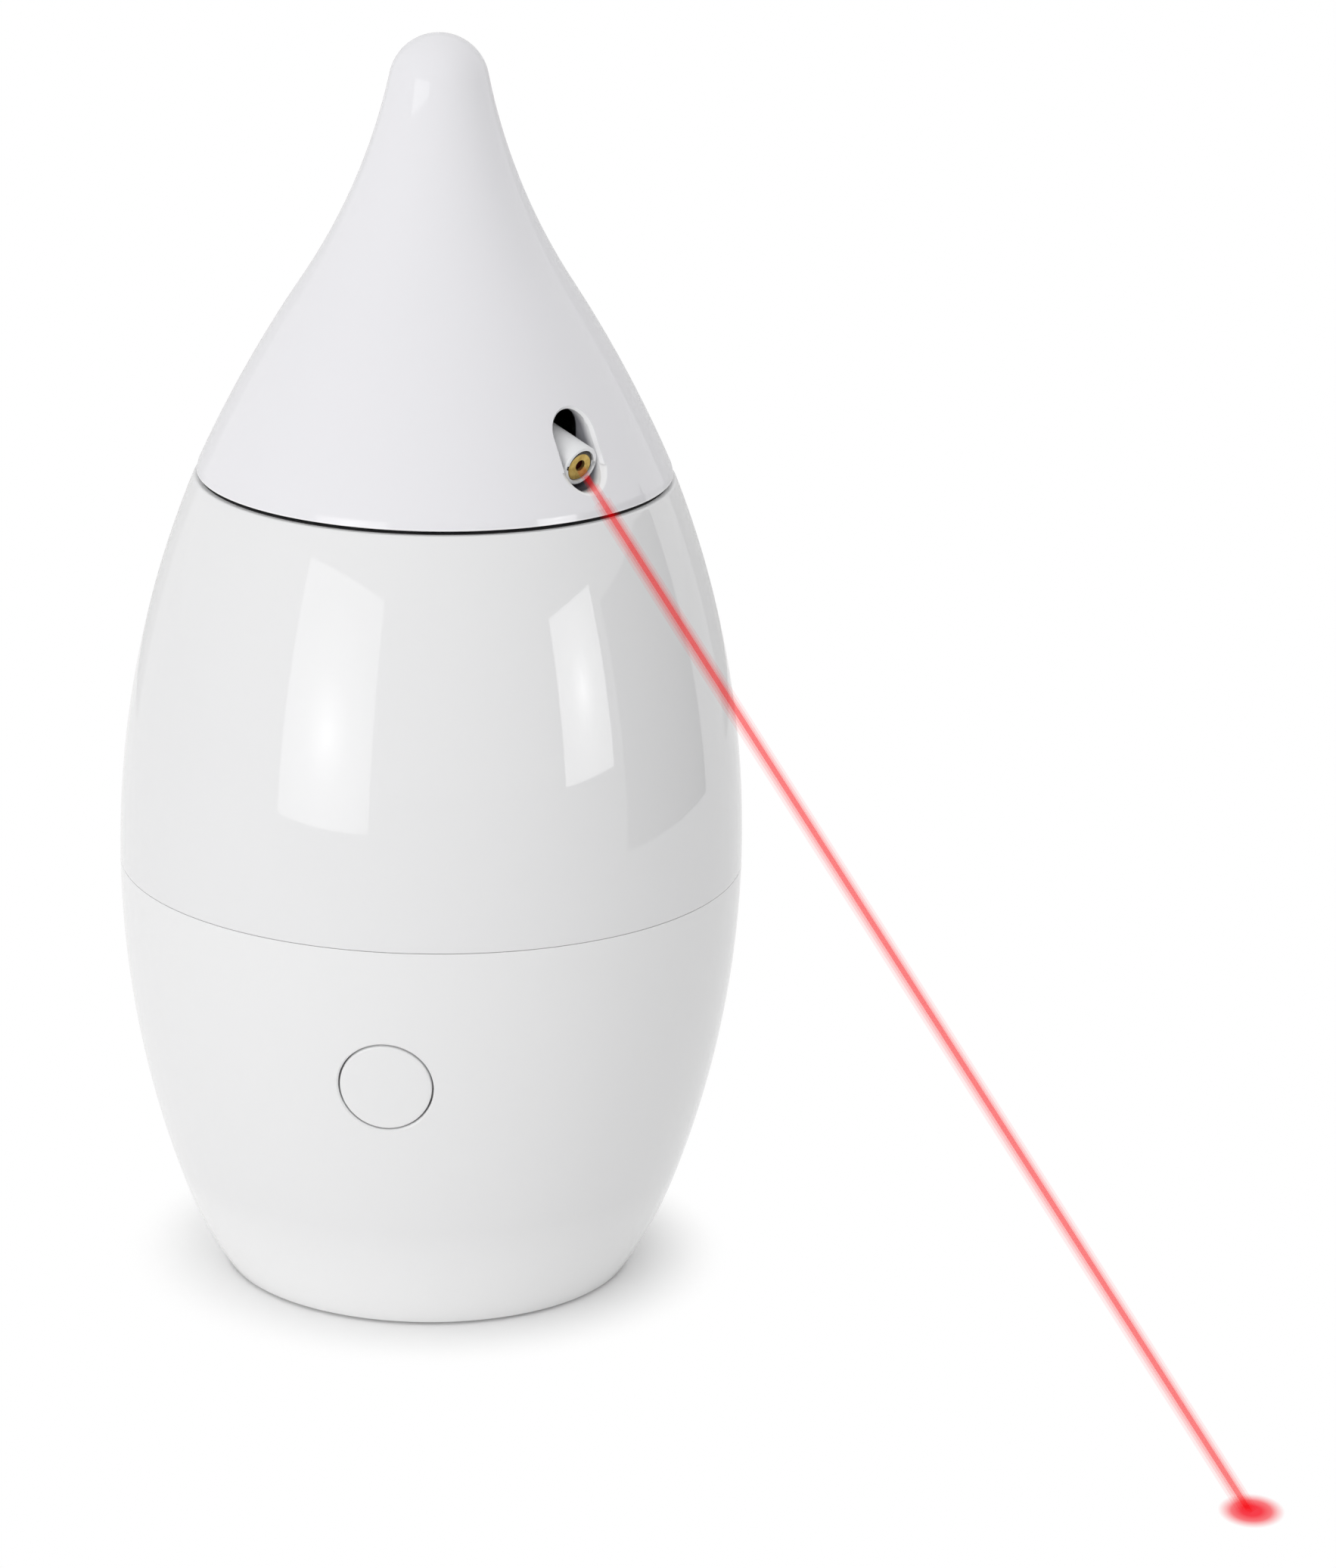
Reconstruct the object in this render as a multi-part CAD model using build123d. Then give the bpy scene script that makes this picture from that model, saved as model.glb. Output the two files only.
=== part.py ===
from build123d import *
import math
import os

os.makedirs("parts", exist_ok=True)

# Automatic cat laser toy. Millimetres, +Z up, the floor at z = 0, the button on the -Y side.
# Angles around the axis are in degrees from +X towards +Y.

# ---------------------------------------------------------------- outside form
belly_flare = 18.0           # widest place of the body, beyond its outline at floor level
belly_height = 73.1
side_arc = 169.75            # radius of the long curve of the body's side
toe_height = 14.6            # where the side curve turns into the tighter toe curve
wall = 2.2
mid_seam_drop = 1.8          # joint of the two housings, below the belly
rim_rise = 64.0              # belly to the top edge of the upper housing
rim_round = 0.9
seam_gap = 0.4               # open gap under the turning head
head_rim_step = 0.07         # head's edge inside the line of the body
head_height = 72.5           # from the head's lower edge to its tip
head_shoulder_arc = 211.3    # convex curve above the head's rim
neck_radius = 22.3           # where the shoulder curve turns into the hollow neck curve
neck_drop = 40.8             # below the tip
neck_arc = 99.5
rim_band = 0.95              # inset band along the head's lower edge
rim_band_inset = 0.15

# ---------------------------------------------------------------- laser slots and barrels
laser_angle = -40.0
laser_count = 2
slot_rise = 10.0             # slot's middle above the head's lower edge
slot_half_width = 3.85
slot_half_height = 6.3
slot_lip = 0.6               # bevel round the slot
shroud_wall = 1.2
shroud_inset = 9.95          # inner end of the slot's shroud, inside the head's edge
pivot_inset = 23.5           # barrel's pivot, inside the head's edge
pivot_rise = 12.7            # pivot above the head's lower edge
barrel_depression = 15.0
barrel_reach = 19.6          # pivot to the front face
barrel_tail = 5.0            # pivot to the rear end
barrel_radius = 3.4
barrel_bore = 2.7
barrel_chamfer = 0.25
barrel_notch = (0.6, 0.8, 0.35)    # depth, width and height of the notches in the bore's rim
module_radius = 2.55
module_chamfer = 0.2
module_length = 11.0
module_recess = 0.2
module_wall = 0.6
aperture_radius = 0.95
lens_thickness = 1.6
diode_radius = 1.4
diode_length = 2.4
laser_board_thickness = 0.8
lead_bore = 2.0              # bore through the barrel's tail
rib_width = 0.8              # ribs in the bore that grip the module
rib_setback = 0.6            # behind the module's face
root_sink = 0.1              # how far a rib or a pin is sunk in the wall that carries it
diode_flange = (1.8, 0.8)    # radius, thickness
trunnion_radius = 1.5
trunnion_length = 3.4        # beyond the barrel's side
ear_gap = 1.2                # barrel's side to the ear
ear_thickness = 2.4
ear_half_length = 3.2
follower_offset = 5.0        # follower peg, outward of the pivot
follower_radius = 1.2
cam_clearance = 0.3          # open contact between the follower and the cam's crest
cam_rise = 0.87
cam_width = 2.4
follower_reach = 3.5         # follower's foot below the carrier
follower_round = 0.7
tilt_range = 10.0            # degrees, up from the barrel's rest
window_clearance = 1.4       # round the follower's path through the carrier

# ---------------------------------------------------------------- head interior
carrier_lift = 0.2           # carrier's underside above the head's lower edge
carrier_thickness = 2.2
carrier_edge_gap = 0.3
head_boss_radius = 3.0
head_boss_inset = 13.5       # inside the head's edge
head_boss_offset = 60.0      # each side of a laser
spindle_radius = 2.5
spindle_hub_radius = 5.0
spindle_screw_head = 3.4
head_board_size = (16.0, 9.0)
head_board_inset = 19.5      # inside the head's edge
head_socket = (4.0, 6.0, 1.4)
standoff = 1.8
standoff_radius = 1.6
standoff_spread = 5.5
collar_radius = 3.8          # spindle's collar under the output gear
board_thickness = 1.6

# ---------------------------------------------------------------- deck, slip ring
deck_drop = 10.6             # top face of the deck, below the upper housing's rim
deck_thickness = 2.5
deck_edge_gap = 0.25
deck_boss_radius = 2.9
deck_boss_inset = 6.88       # inside the body's outline
deck_boss_height = 6.5
ledge_width = 2.6
ledge_thickness = 1.5
bush_radius = 4.2
bush_flange_radius = 5.8
bush_flange = 0.8
bush_boss_radius = 6.5
bush_boss_drop = 2.0
slip_board_inner = 7.5
slip_board_outer = 17.0
slip_board_thickness = 1.2
track_radii = (10.0, 12.5, 15.0)
track_width = 1.0
track_thickness = 0.2
brush_gap = 0.1
brush_width = 0.8
brush_leaf = 0.3
brush_block = (8.0, 6.0, 4.6)   # radial, tangential, height
brush_root = 1.0             # leaf's fold, from the block's end and below it
brush_reach = 3.0            # leaf's contact point, past the block's middle
brush_tail = (2.0, 1.2)      # turned-up end of the leaf, along and up

# ---------------------------------------------------------------- gear train
gear_module = 0.6
pressure_angle = 25.0
addendum = 0.8               # in modules
dedendum = 1.05              # in modules
backlash = 0.1
pinion_teeth = 10
wheel_teeth = 40
output_teeth = 50
wheel_face = 2.5
output_face = 3.0
plane_gap = 0.6              # between wheels in neighbouring planes
end_float = 0.4
running_fit = 0.05           # radial clearance of a shaft in its bore
gear_b_heading = 90.0
gear_a_heading = 200.4
motor_heading = -80.0
pin_radius = 1.0
gear_hub = 1.9
pin_roof = 1.0               # deck left above the gear pins
output_hub_radius = 5.0
output_hub = 0.7
web_holes = 5                # lightening holes of the output gear
web_hole_radius = 2.5
web_hole_offset = 4.4        # outside the hub
gearbox_thickness = 3.0
gearbox_radius = 32.3
pillar_radius = 3.0
pillar_inset = 3.3           # inside the gearbox base's edge
pillar_angles = (38.0, 186.0, 258.0, 330.0)

# ---------------------------------------------------------------- motor
motor_radius = 10.1
motor_flat = 15.1            # across the flats
motor_length = 25.0
can_wall = 0.8
end_cap_length = 3.0
motor_shaft_radius = 1.0
armature_radius = 5.4
armature_length = 10.0
armature_slot = 1.4
magnet_gap = 0.5
commutator_radius = 2.2
commutator_length = 3.0
motor_nose_radius = 3.0
motor_nose = 1.5
motor_nose_fit = 0.1
motor_screw_spread = 9.4     # between the motor's two screws
armature_core = 1.8
commutator_gap = 2.0         # commutator to the windings
bearing_floor = 1.0          # end cap left under the shaft
magnet_share = 0.8           # magnet's width, of the can's flat

# ---------------------------------------------------------------- button and board
button_drop = 25.6           # below the belly
button_radius = 7.5
button_gap = 0.3
button_flange = 1.3
button_flange_thickness = 1.2
button_flange_gap = 0.3
button_travel = 1.0
stem_radius = 2.2
stem_length = 5.0
plunger_radius = 1.75
plunger_length = 2.2
plunger_exposed = 1.2
plunger_float = 0.3
switch_size = 6.2
switch_depth = 3.5
board_width = 30.0
board_length = 40.0
board_boss_radius = 2.7
board_boss_x = 11.5
board_boss_y = 16.0
chip_size = (8.0, 6.0, 1.6)
chip_y = 6.0
capacitor_radius = 2.5
capacitor_length = 6.0
capacitor_y = -7.0

# ---------------------------------------------------------------- base and batteries
foot_radius = 3.4
foot_proud = 0.5
foot_pocket = 1.2
foot_count = 4
foot_chamfer = 0.3
plate_thickness = 2.2
plate_edge_gap = 0.2
fixing_margin = 7.6          # circle of the feet and base screws, outside the door's opening
base_margin = 6.3            # outline at floor level, outside that circle
base_boss_radius = 3.2
base_boss_length = 13.0
rib_thickness = 1.6
column_offset = 2.2          # outside the circle of the feet
column_radius = 3.6
column_bore = 2.6
column_web = 5.0
column_drop = 5.3            # below the seam of the housings
pillar_gap = 0.2
upper_pillar_length = 13.0
lip_height = 3.0
lip_thickness = 1.1
lip_gap = 0.1
cell_radius = 7.1
cell_length = 49.3
cell_nub_radius = 2.7
cell_nub = 1.2
cell_count = 3
cell_core = 2.3              # axis to the side of each cell
cell_gap = 0.35
cell_round = 0.4
holder_wall = 1.6
spring_wire = 0.4
spring_radius = 4.0
spring_turns = 3
spring_length = 5.0
holder_roof = 1.6
flange_edge = 2.6            # holder's flange, outside its screws
flange_thickness = 2.0
holder_screw_edge = 1.2      # holder's screws, outside the door's opening
holder_screw_bite = 1.6      # into the base plate
door_gap = 0.3
door_margin = 3.4            # door beyond the cells
door_notch = (9.0, 3.0, 0.8)
door_notch_inset = 6.0
door_recess = 0.2
contact_thickness = 0.4
contact_gap = 0.2
contact_inset = 1.0          # contact discs, inside the cell's side
terminal_thickness = 0.3

# ---------------------------------------------------------------- leads
lead_radius = 0.6
lead_bend = 4.0
lead_spread = 2.0            # each side of the motor's axis
lead_start = 7.0             # straight run off the board
lead_board_y = 11.0          # where the leads are soldered, above the board's middle
lead_rise = 7.0              # straight run above the battery holder, below the motor

# ---------------------------------------------------------------- screws
screw_radius = 1.1
screw_head_radius = 2.1
screw_head = 1.4
screw_fit = 0.06
recess_arm = 0.5             # cross recess
recess_reach = 0.7           # in head radii
recess_depth = 0.8
short_screw = 6.0
head_room = 0.3              # round a screw's head in its counterbore
blind_end = 1.5              # boss left above a blind bore
tip_room = 0.5               # blind bore beyond a screw's tip
cut_reach = 5.0              # how far a cutting body passes a surface
pick_tolerance = 0.05

# ---------------------------------------------------------------- sizes that follow from those above
cell_circle = cell_radius + cell_core
door_radius = cell_circle + cell_radius + door_margin
door_opening = door_radius + door_gap
holder_screw_circle = door_opening + holder_screw_edge
flange_radius = holder_screw_circle + flange_edge
fixing_circle = door_opening + fixing_margin
column_circle = fixing_circle + column_offset
base_radius = fixing_circle + base_margin
belly_radius = base_radius + belly_flare
button_height = belly_height - button_drop
mid_seam_height = belly_height - mid_seam_drop
column_top = mid_seam_height - column_drop
rim_height = belly_height + rim_rise
head_low = rim_height + seam_gap
slot_height = head_low + slot_rise
pivot_height = head_low + pivot_rise
carrier_low = head_low + carrier_lift
carrier_top = carrier_low + carrier_thickness
follower_foot = carrier_low - follower_reach
follower_drop = pivot_height - follower_foot
deck_height = rim_height - deck_drop
deck_low = deck_height - deck_thickness
pillar_circle = gearbox_radius - pillar_inset

# ================================================================ helpers


def cyl(radius, low, high, at=(0, 0)):
    return Pos(at[0], at[1], (low + high) / 2) * Cylinder(radius, high - low)


def tube(outer, inner, low, high, at=(0, 0)):
    return cyl(outer, low, high, at) - cyl(inner, low, high, at)


def block(x_low, x_high, y_low, y_high, z_low, z_high):
    size = (x_high - x_low, y_high - y_low, z_high - z_low)
    centre = ((x_low + x_high) / 2, (y_low + y_high) / 2, (z_low + z_high) / 2)
    return Pos(*centre) * Box(*size)


def polar(radius, angle):
    return radius * math.cos(math.radians(angle)), radius * math.sin(math.radians(angle))


def turned(shape, angle):
    return Rot(0, 0, angle) * shape


def spread(count, first=0.0):
    return [first + 360 * i / count for i in range(count)]


def screw(length, at, seat, up=True, shank=screw_radius, head=screw_head_radius):
    """Screw whose head bears on height seat; its shank points up or down."""
    body = cyl(head, -screw_head, 0) + cyl(shank, 0, length)
    arm = head * recess_reach
    recess = block(-arm, arm, -recess_arm / 2, recess_arm / 2, -screw_head, -screw_head + recess_depth)
    body -= recess + turned(recess, 90)
    body = body if up else Rot(180, 0, 0) * body
    return Pos(at[0], at[1], seat) * body


def save(name, *shapes):
    whole = shapes[0] if len(shapes) == 1 else Compound(children=list(shapes))
    export_step(whole, f"parts/{name}.step")


# ================================================================ outline of the body and the head

side_centre = (belly_radius - side_arc, belly_height)


def arc_r(centre, radius, z, side=1):
    """Radius of a circular outline at height z, on its outer (+1) or inner (-1) half."""
    return centre[0] + side * math.sqrt(radius ** 2 - (z - centre[1]) ** 2)


toe_point = (arc_r(side_centre, side_arc, toe_height), toe_height)
toe_unit = ((side_centre[0] - toe_point[0]) / side_arc, (side_centre[1] - toe_point[1]) / side_arc)
toe_chord = (toe_point[0] - base_radius, toe_point[1])
toe_lean = toe_unit[0] * toe_chord[0] + toe_unit[1] * toe_chord[1]
toe_arc = -(toe_chord[0] ** 2 + toe_chord[1] ** 2) / (2 * toe_lean)
toe_centre = (toe_point[0] + toe_unit[0] * toe_arc, toe_point[1] + toe_unit[1] * toe_arc)


def toe_joint(depth):
    return toe_point[1] + toe_unit[1] * depth


def body_r(z, depth=0.0):
    """Radius of the body's outline at height z, depth mm under the surface."""
    if z < toe_joint(depth):
        return arc_r(toe_centre, toe_arc - depth, z, math.copysign(1, toe_arc))
    return arc_r(side_centre, side_arc - depth, z)


def outline(radius_at, heights, depth):
    """Edges in the XZ plane through a revolved outline, an arc between each two heights."""
    edges = []
    for low, high in zip(heights[:-1], heights[1:]):
        points = [(radius_at(z, depth), 0, z) for z in (low, (low + high) / 2, high)]
        edges.append(ThreePointArc(*points))
    return edges


def body_curve(low, high, depth):
    joint = toe_joint(depth)
    heights = [low, joint, high] if low < joint < high else [low, high]
    return outline(body_r, heights, depth)


def body_ring(low, high, outer_depth, inner_depth):
    """Wall of the body between two heights and two depths."""
    outer = body_curve(low, high, outer_depth)
    inner = body_curve(low, high, inner_depth)
    ends = [Line(outer[-1] @ 1, inner[-1] @ 1), Line(outer[0] @ 0, inner[0] @ 0)]
    return revolve(make_face(outer + inner + ends), Axis.Z)


def body_core(low, high, depth):
    """Solid body under the surface, used to trim ribs and bosses to the wall."""
    outer = body_curve(low, high, depth)
    axis = Line((0, 0, high), (0, 0, low))
    ends = [Line(outer[-1] @ 1, axis @ 0), axis, Line(axis @ 1, outer[0] @ 0)]
    return revolve(make_face(outer + ends), Axis.Z)


head_rim_radius = body_r(rim_height) - head_rim_step
shroud_end = head_rim_radius - shroud_inset
pivot_radius = head_rim_radius - pivot_inset
follower_at = pivot_radius + follower_offset
head_boss_circle = head_rim_radius - head_boss_inset
head_board_circle = head_rim_radius - head_board_inset
deck_boss_circle = body_r(deck_height) - deck_boss_inset
tip_height = head_low + head_height
neck_point = (neck_radius, tip_height - neck_drop)


def circle_through(start, end, radius):
    """Centre of a circle through two points, on the side nearer the axis."""
    middle = ((start[0] + end[0]) / 2, (start[1] + end[1]) / 2)
    along = (end[0] - start[0], end[1] - start[1])
    chord = math.hypot(*along)
    reach = math.sqrt(radius ** 2 - chord ** 2 / 4)
    return middle[0] - along[1] / chord * reach, middle[1] + along[0] / chord * reach


shoulder_centre = circle_through((head_rim_radius, head_low), neck_point, head_shoulder_arc)
neck_unit = ((neck_point[0] - shoulder_centre[0]) / head_shoulder_arc,
             (neck_point[1] - shoulder_centre[1]) / head_shoulder_arc)
neck_centre = (neck_point[0] + neck_unit[0] * neck_arc, neck_point[1] + neck_unit[1] * neck_arc)
dome_rise = neck_centre[1] - tip_height
dome_radius = (dome_rise ** 2 + neck_centre[0] ** 2 - neck_arc ** 2) / (2 * (neck_arc - dome_rise))
dome_height = tip_height - dome_radius
dome_span = math.hypot(neck_centre[0], neck_centre[1] - dome_height)
dome_unit = (neck_centre[0] / dome_span, (neck_centre[1] - dome_height) / dome_span)


def head_joints(depth):
    """Heights where the head's three curves meet, depth mm under the surface."""
    return neck_point[1] - neck_unit[1] * depth, dome_height + dome_unit[1] * (dome_radius - depth)


def head_r(z, depth=0.0):
    neck, dome = head_joints(depth)
    if z < neck:
        return arc_r(shoulder_centre, head_shoulder_arc - depth, z)
    if z < dome:
        return arc_r(neck_centre, neck_arc + depth, z, -1)
    return math.sqrt(max((dome_radius - depth) ** 2 - (z - dome_height) ** 2, 0.0))


def head_core(low, depth):
    """Solid head under the surface from height low up to the tip."""
    neck, dome = head_joints(depth)
    edges = outline(head_r, [low, neck, dome], depth)
    top = tip_height - depth
    half = (dome_radius - depth) * math.sqrt(0.5)
    start = edges[-1] @ 1
    edges.append(ThreePointArc(start, (half, 0, dome_height + half), (0, 0, top)))
    edges += [Line((0, 0, top), (0, 0, low)), Line((0, 0, low), edges[0] @ 0)]
    return revolve(make_face(edges), Axis.Z)


# ================================================================ gears


def involute(angle):
    return math.tan(angle) - angle


def gear(teeth, low, high, phase):
    """Spur gear standing on the origin; phase is the heading of one tooth."""
    pitch_r = gear_module * teeth / 2
    base_r = pitch_r * math.cos(math.radians(pressure_angle))
    tip_r = pitch_r + addendum * gear_module
    root_r = pitch_r - dedendum * gear_module
    half_tooth = (math.pi * gear_module - backlash) / (4 * pitch_r) + involute(math.radians(pressure_angle))
    start = max(base_r, root_r)
    flank = [start + (tip_r - start) * i / 3 for i in range(4)]
    side = [(r, half_tooth - involute(math.acos(min(base_r / r, 1.0)))) for r in flank]
    if root_r < base_r:
        side.insert(0, (root_r, side[0][1]))
    tooth = [(r, -a) for r, a in side] + [(r, a) for r, a in reversed(side)]
    points = []
    for k in range(teeth):
        turn = math.radians(phase) + 2 * math.pi * k / teeth
        points += [(r * math.cos(turn + a), r * math.sin(turn + a)) for r, a in tooth]
    return extrude(Pos(0, 0, low) * make_face(Polyline(*points, close=True)), high - low)


def mesh_phase(phase, teeth, heading, mate_teeth):
    """Phase of a mating gear that lies in direction heading from the first gear."""
    turns = (heading - phase) * teeth / 360
    return heading + 180 + (turns + 0.5) * 360 / mate_teeth


def centre_distance(teeth, mate_teeth):
    return gear_module * (teeth + mate_teeth) / 2


def beyond(start, distance, heading):
    step = polar(distance, heading)
    return start[0] + step[0], start[1] + step[1]


gear_b_at = beyond((0, 0), centre_distance(output_teeth, pinion_teeth), gear_b_heading)
gear_a_at = beyond(gear_b_at, centre_distance(wheel_teeth, pinion_teeth), gear_a_heading)
motor_at = beyond(gear_a_at, centre_distance(wheel_teeth, pinion_teeth), motor_heading)
output_phase = 0.0
gear_b_phase = mesh_phase(output_phase, output_teeth, gear_b_heading, pinion_teeth)
gear_a_phase = mesh_phase(gear_b_phase, wheel_teeth, gear_a_heading, pinion_teeth)
motor_phase = mesh_phase(gear_a_phase, wheel_teeth, motor_heading, pinion_teeth)

bush_low = deck_low - bush_boss_drop
hub_top = deck_low - end_float
output_high = bush_low - end_float - output_hub
output_low = output_high - output_face
b_wheel_high = output_low - 1.5 * plane_gap
b_wheel_low = b_wheel_high - wheel_face
a_wheel_high = b_wheel_low - plane_gap
a_wheel_low = a_wheel_high - wheel_face
a_pinion_high = b_wheel_high + 0.5 * plane_gap
gearbox_floor = a_wheel_low - end_float


def build_gears():
    bore = pin_radius + running_fit
    gear_a = gear(wheel_teeth, a_wheel_low, a_wheel_high, gear_a_phase)
    gear_a += gear(pinion_teeth, a_wheel_high, a_pinion_high, gear_a_phase)
    gear_a += cyl(gear_hub, a_pinion_high, hub_top)
    gear_a -= cyl(bore, a_wheel_low, hub_top)
    save("compound_gear_a", Pos(*gear_a_at) * gear_a)

    gear_b = gear(wheel_teeth, b_wheel_low, b_wheel_high, gear_b_phase)
    gear_b += gear(pinion_teeth, b_wheel_high, output_high + end_float, gear_b_phase)
    gear_b += cyl(gear_hub, a_wheel_low, b_wheel_low) + cyl(gear_hub, output_high + end_float, hub_top)
    gear_b -= cyl(bore, a_wheel_low, hub_top)
    save("compound_gear_b", Pos(*gear_b_at) * gear_b)

    output = gear(output_teeth, output_low, output_high, output_phase)
    output += cyl(output_hub_radius, output_high, bush_low - end_float)
    output -= cyl(spindle_radius, output_low, bush_low - end_float)
    for a in spread(web_holes, 180 / web_holes):
        output -= cyl(web_hole_radius, output_low, output_high, polar(output_hub_radius + web_hole_offset, a))
    save("output_gear", output)

    pinion = gear(pinion_teeth, a_wheel_low, b_wheel_low - 0.5 * plane_gap, motor_phase)
    pinion -= cyl(motor_shaft_radius, a_wheel_low, b_wheel_low)
    save("motor_pinion", Pos(*motor_at) * pinion)

    pocket = gearbox_floor - gearbox_thickness / 2
    pins = [cyl(pin_radius, pocket, deck_height - pin_roof, at) for at in (gear_a_at, gear_b_at)]
    save("gear_pins", *pins)


# ================================================================ housings


def radial_rib(circle, low, high, thickness):
    """Rib from a boss on a circle out to the wall, before it is trimmed."""
    return block(circle, belly_radius, -thickness / 2, thickness / 2, low, high)


button_r = body_r(button_height)
button_tilt = math.degrees(math.atan2(belly_height - button_height, button_r - side_centre[0]))
button_out = (0, -math.cos(math.radians(button_tilt)), -math.sin(math.radians(button_tilt)))
button_plane = Plane(origin=(0, -button_r, button_height), x_dir=(1, 0, 0), z_dir=button_out)
flange_r = button_radius + button_flange
flange_depth = wall + button_r - math.sqrt(button_r ** 2 - flange_r ** 2) + button_flange_gap
stem_depth = flange_depth + button_flange_thickness
stem_end = stem_depth + stem_length
switch_face = stem_end + plunger_exposed
board_face = switch_face + switch_depth
board_back = board_face + board_thickness


def behind(depth_from, depth_to, radius, at=(0, 0)):
    """Cylinder along the button's axis between two depths behind the surface."""
    middle = -(depth_from + depth_to) / 2
    return button_plane * Pos(at[0], at[1], middle) * Cylinder(radius, depth_to - depth_from)


def behind_box(depth_from, depth_to, width, length, at=(0, 0)):
    middle = -(depth_from + depth_to) / 2
    return button_plane * Pos(at[0], at[1], middle) * Box(width, length, depth_to - depth_from)


def board_fixings():
    return [(x, y) for x in (-board_boss_x, board_boss_x) for y in (-board_boss_y, board_boss_y)]


plate_top = foot_proud + plate_thickness
base_boss_top = plate_top + base_boss_length
pillar_low = column_top + pillar_gap
pillar_top = pillar_low + upper_pillar_length
deck_boss_top = deck_height + deck_boss_height
base_angles = spread(foot_count)
foot_angles = spread(foot_count, 180 / foot_count)
pilot = screw_radius + screw_fit


def build_lower_housing():
    shell = body_ring(foot_proud, mid_seam_height, 0, wall)
    core = body_core(foot_proud, mid_seam_height, wall / 2)
    inside = []
    for a in base_angles:
        boss = cyl(base_boss_radius, plate_top, base_boss_top, (fixing_circle, 0))
        boss += radial_rib(fixing_circle, plate_top, base_boss_top, rib_thickness)
        boss -= cyl(pilot, plate_top, base_boss_top - blind_end, (fixing_circle, 0))
        inside.append(turned(boss, a))
    for a in foot_angles:
        column = cyl(column_radius, plate_top, column_top, (column_circle, 0))
        column += radial_rib(column_circle, plate_top, column_top, rib_thickness)
        column -= cyl(column_bore, plate_top, column_top - column_web, (column_circle, 0))
        column -= cyl(pilot, column_top - column_web, column_top, (column_circle, 0))
        inside.append(turned(column, a))
    for at in board_fixings():
        inside.append(behind(0, board_face, board_boss_radius, at) - behind(wall, board_face, pilot, at))
    shell += [piece & core for piece in inside]
    shell -= behind(-cut_reach, stem_depth, button_radius + button_gap)
    save("lower_housing", shell)


def build_upper_housing():
    shell = body_ring(mid_seam_height, rim_height, 0, wall)
    outer_rim = shell.edges().filter_by(GeomType.CIRCLE).group_by(Axis.Z)[-1].sort_by(SortBy.RADIUS)[-1]
    shell = fillet(outer_rim, rim_round)
    lip_depth = wall + lip_gap
    lip_top = mid_seam_height + lip_thickness
    lip = body_ring(mid_seam_height - lip_height, lip_top, lip_depth, lip_depth + lip_thickness)
    join = body_ring(mid_seam_height, lip_top, wall / 2, lip_depth + lip_thickness)
    core = body_core(mid_seam_height, rim_height, wall / 2)
    inside = []
    for a in foot_angles:
        pillar = cyl(column_radius, pillar_low, pillar_top, (column_circle, 0))
        pillar += radial_rib(column_circle, mid_seam_height, pillar_top, rib_thickness) & core
        pillar -= cyl(pilot, pillar_low, pillar_top - blind_end, (column_circle, 0))
        inside.append(turned(pillar, a))
    for a in base_angles:
        boss = cyl(deck_boss_radius, deck_height, deck_boss_top, (deck_boss_circle, 0))
        boss += radial_rib(deck_boss_circle, deck_height, deck_boss_top, rib_thickness) & core
        boss -= cyl(pilot, deck_height, deck_boss_top - blind_end, (deck_boss_circle, 0))
        inside.append(turned(boss, a))
    ledge_in = body_r(deck_height, wall) - ledge_width
    ledge = cyl(belly_radius, deck_height, deck_height + ledge_thickness) & core
    ledge -= cyl(ledge_in, deck_height, deck_height + ledge_thickness)
    shell += [lip, join, ledge] + inside
    save("upper_housing", shell)


def build_housing_screws():
    seat = column_top - column_web
    length = pillar_top - blind_end - tip_room - seat
    save("housing_screws", *[screw(length, polar(column_circle, a), seat) for a in foot_angles])


# ================================================================ base and batteries

cell_low = plate_top + contact_thickness + contact_gap
cell_high = cell_low + cell_length + cell_nub
holder_top = cell_high + spring_length + terminal_thickness + holder_roof
plate_radius = body_r(foot_proud, wall) - plate_edge_gap
holder_radius = cell_circle + cell_radius + cell_gap + holder_wall
cell_angles = spread(cell_count, 90)
holder_screw_angles = spread(cell_count, 90 - 180 / cell_count)
lead_cells = cell_angles[1:]


def build_base():
    plate = cyl(plate_radius, foot_proud, plate_top) - cyl(door_opening, foot_proud, plate_top)
    seat = foot_proud + screw_head + door_recess
    for a in base_angles:
        at = polar(fixing_circle, a)
        plate -= cyl(pilot, foot_proud, plate_top, at)
        plate -= cyl(screw_head_radius + head_room, foot_proud, seat, at)
    for a in foot_angles:
        plate -= cyl(foot_radius, foot_proud, foot_proud + foot_pocket, polar(fixing_circle, a))
    for a in holder_screw_angles:
        plate -= cyl(pilot, plate_top - holder_screw_bite, plate_top, polar(holder_screw_circle, a))
    save("base_plate", plate)
    feet = [cyl(foot_radius, 0, foot_proud + foot_pocket, polar(fixing_circle, a)) for a in foot_angles]
    feet = [chamfer(foot.edges().group_by(Axis.Z)[0], foot_chamfer) for foot in feet]
    save("rubber_feet", *feet)
    length = base_boss_top - blind_end - tip_room - seat
    save("base_screws", *[screw(length, polar(fixing_circle, a), seat) for a in base_angles])


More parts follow.
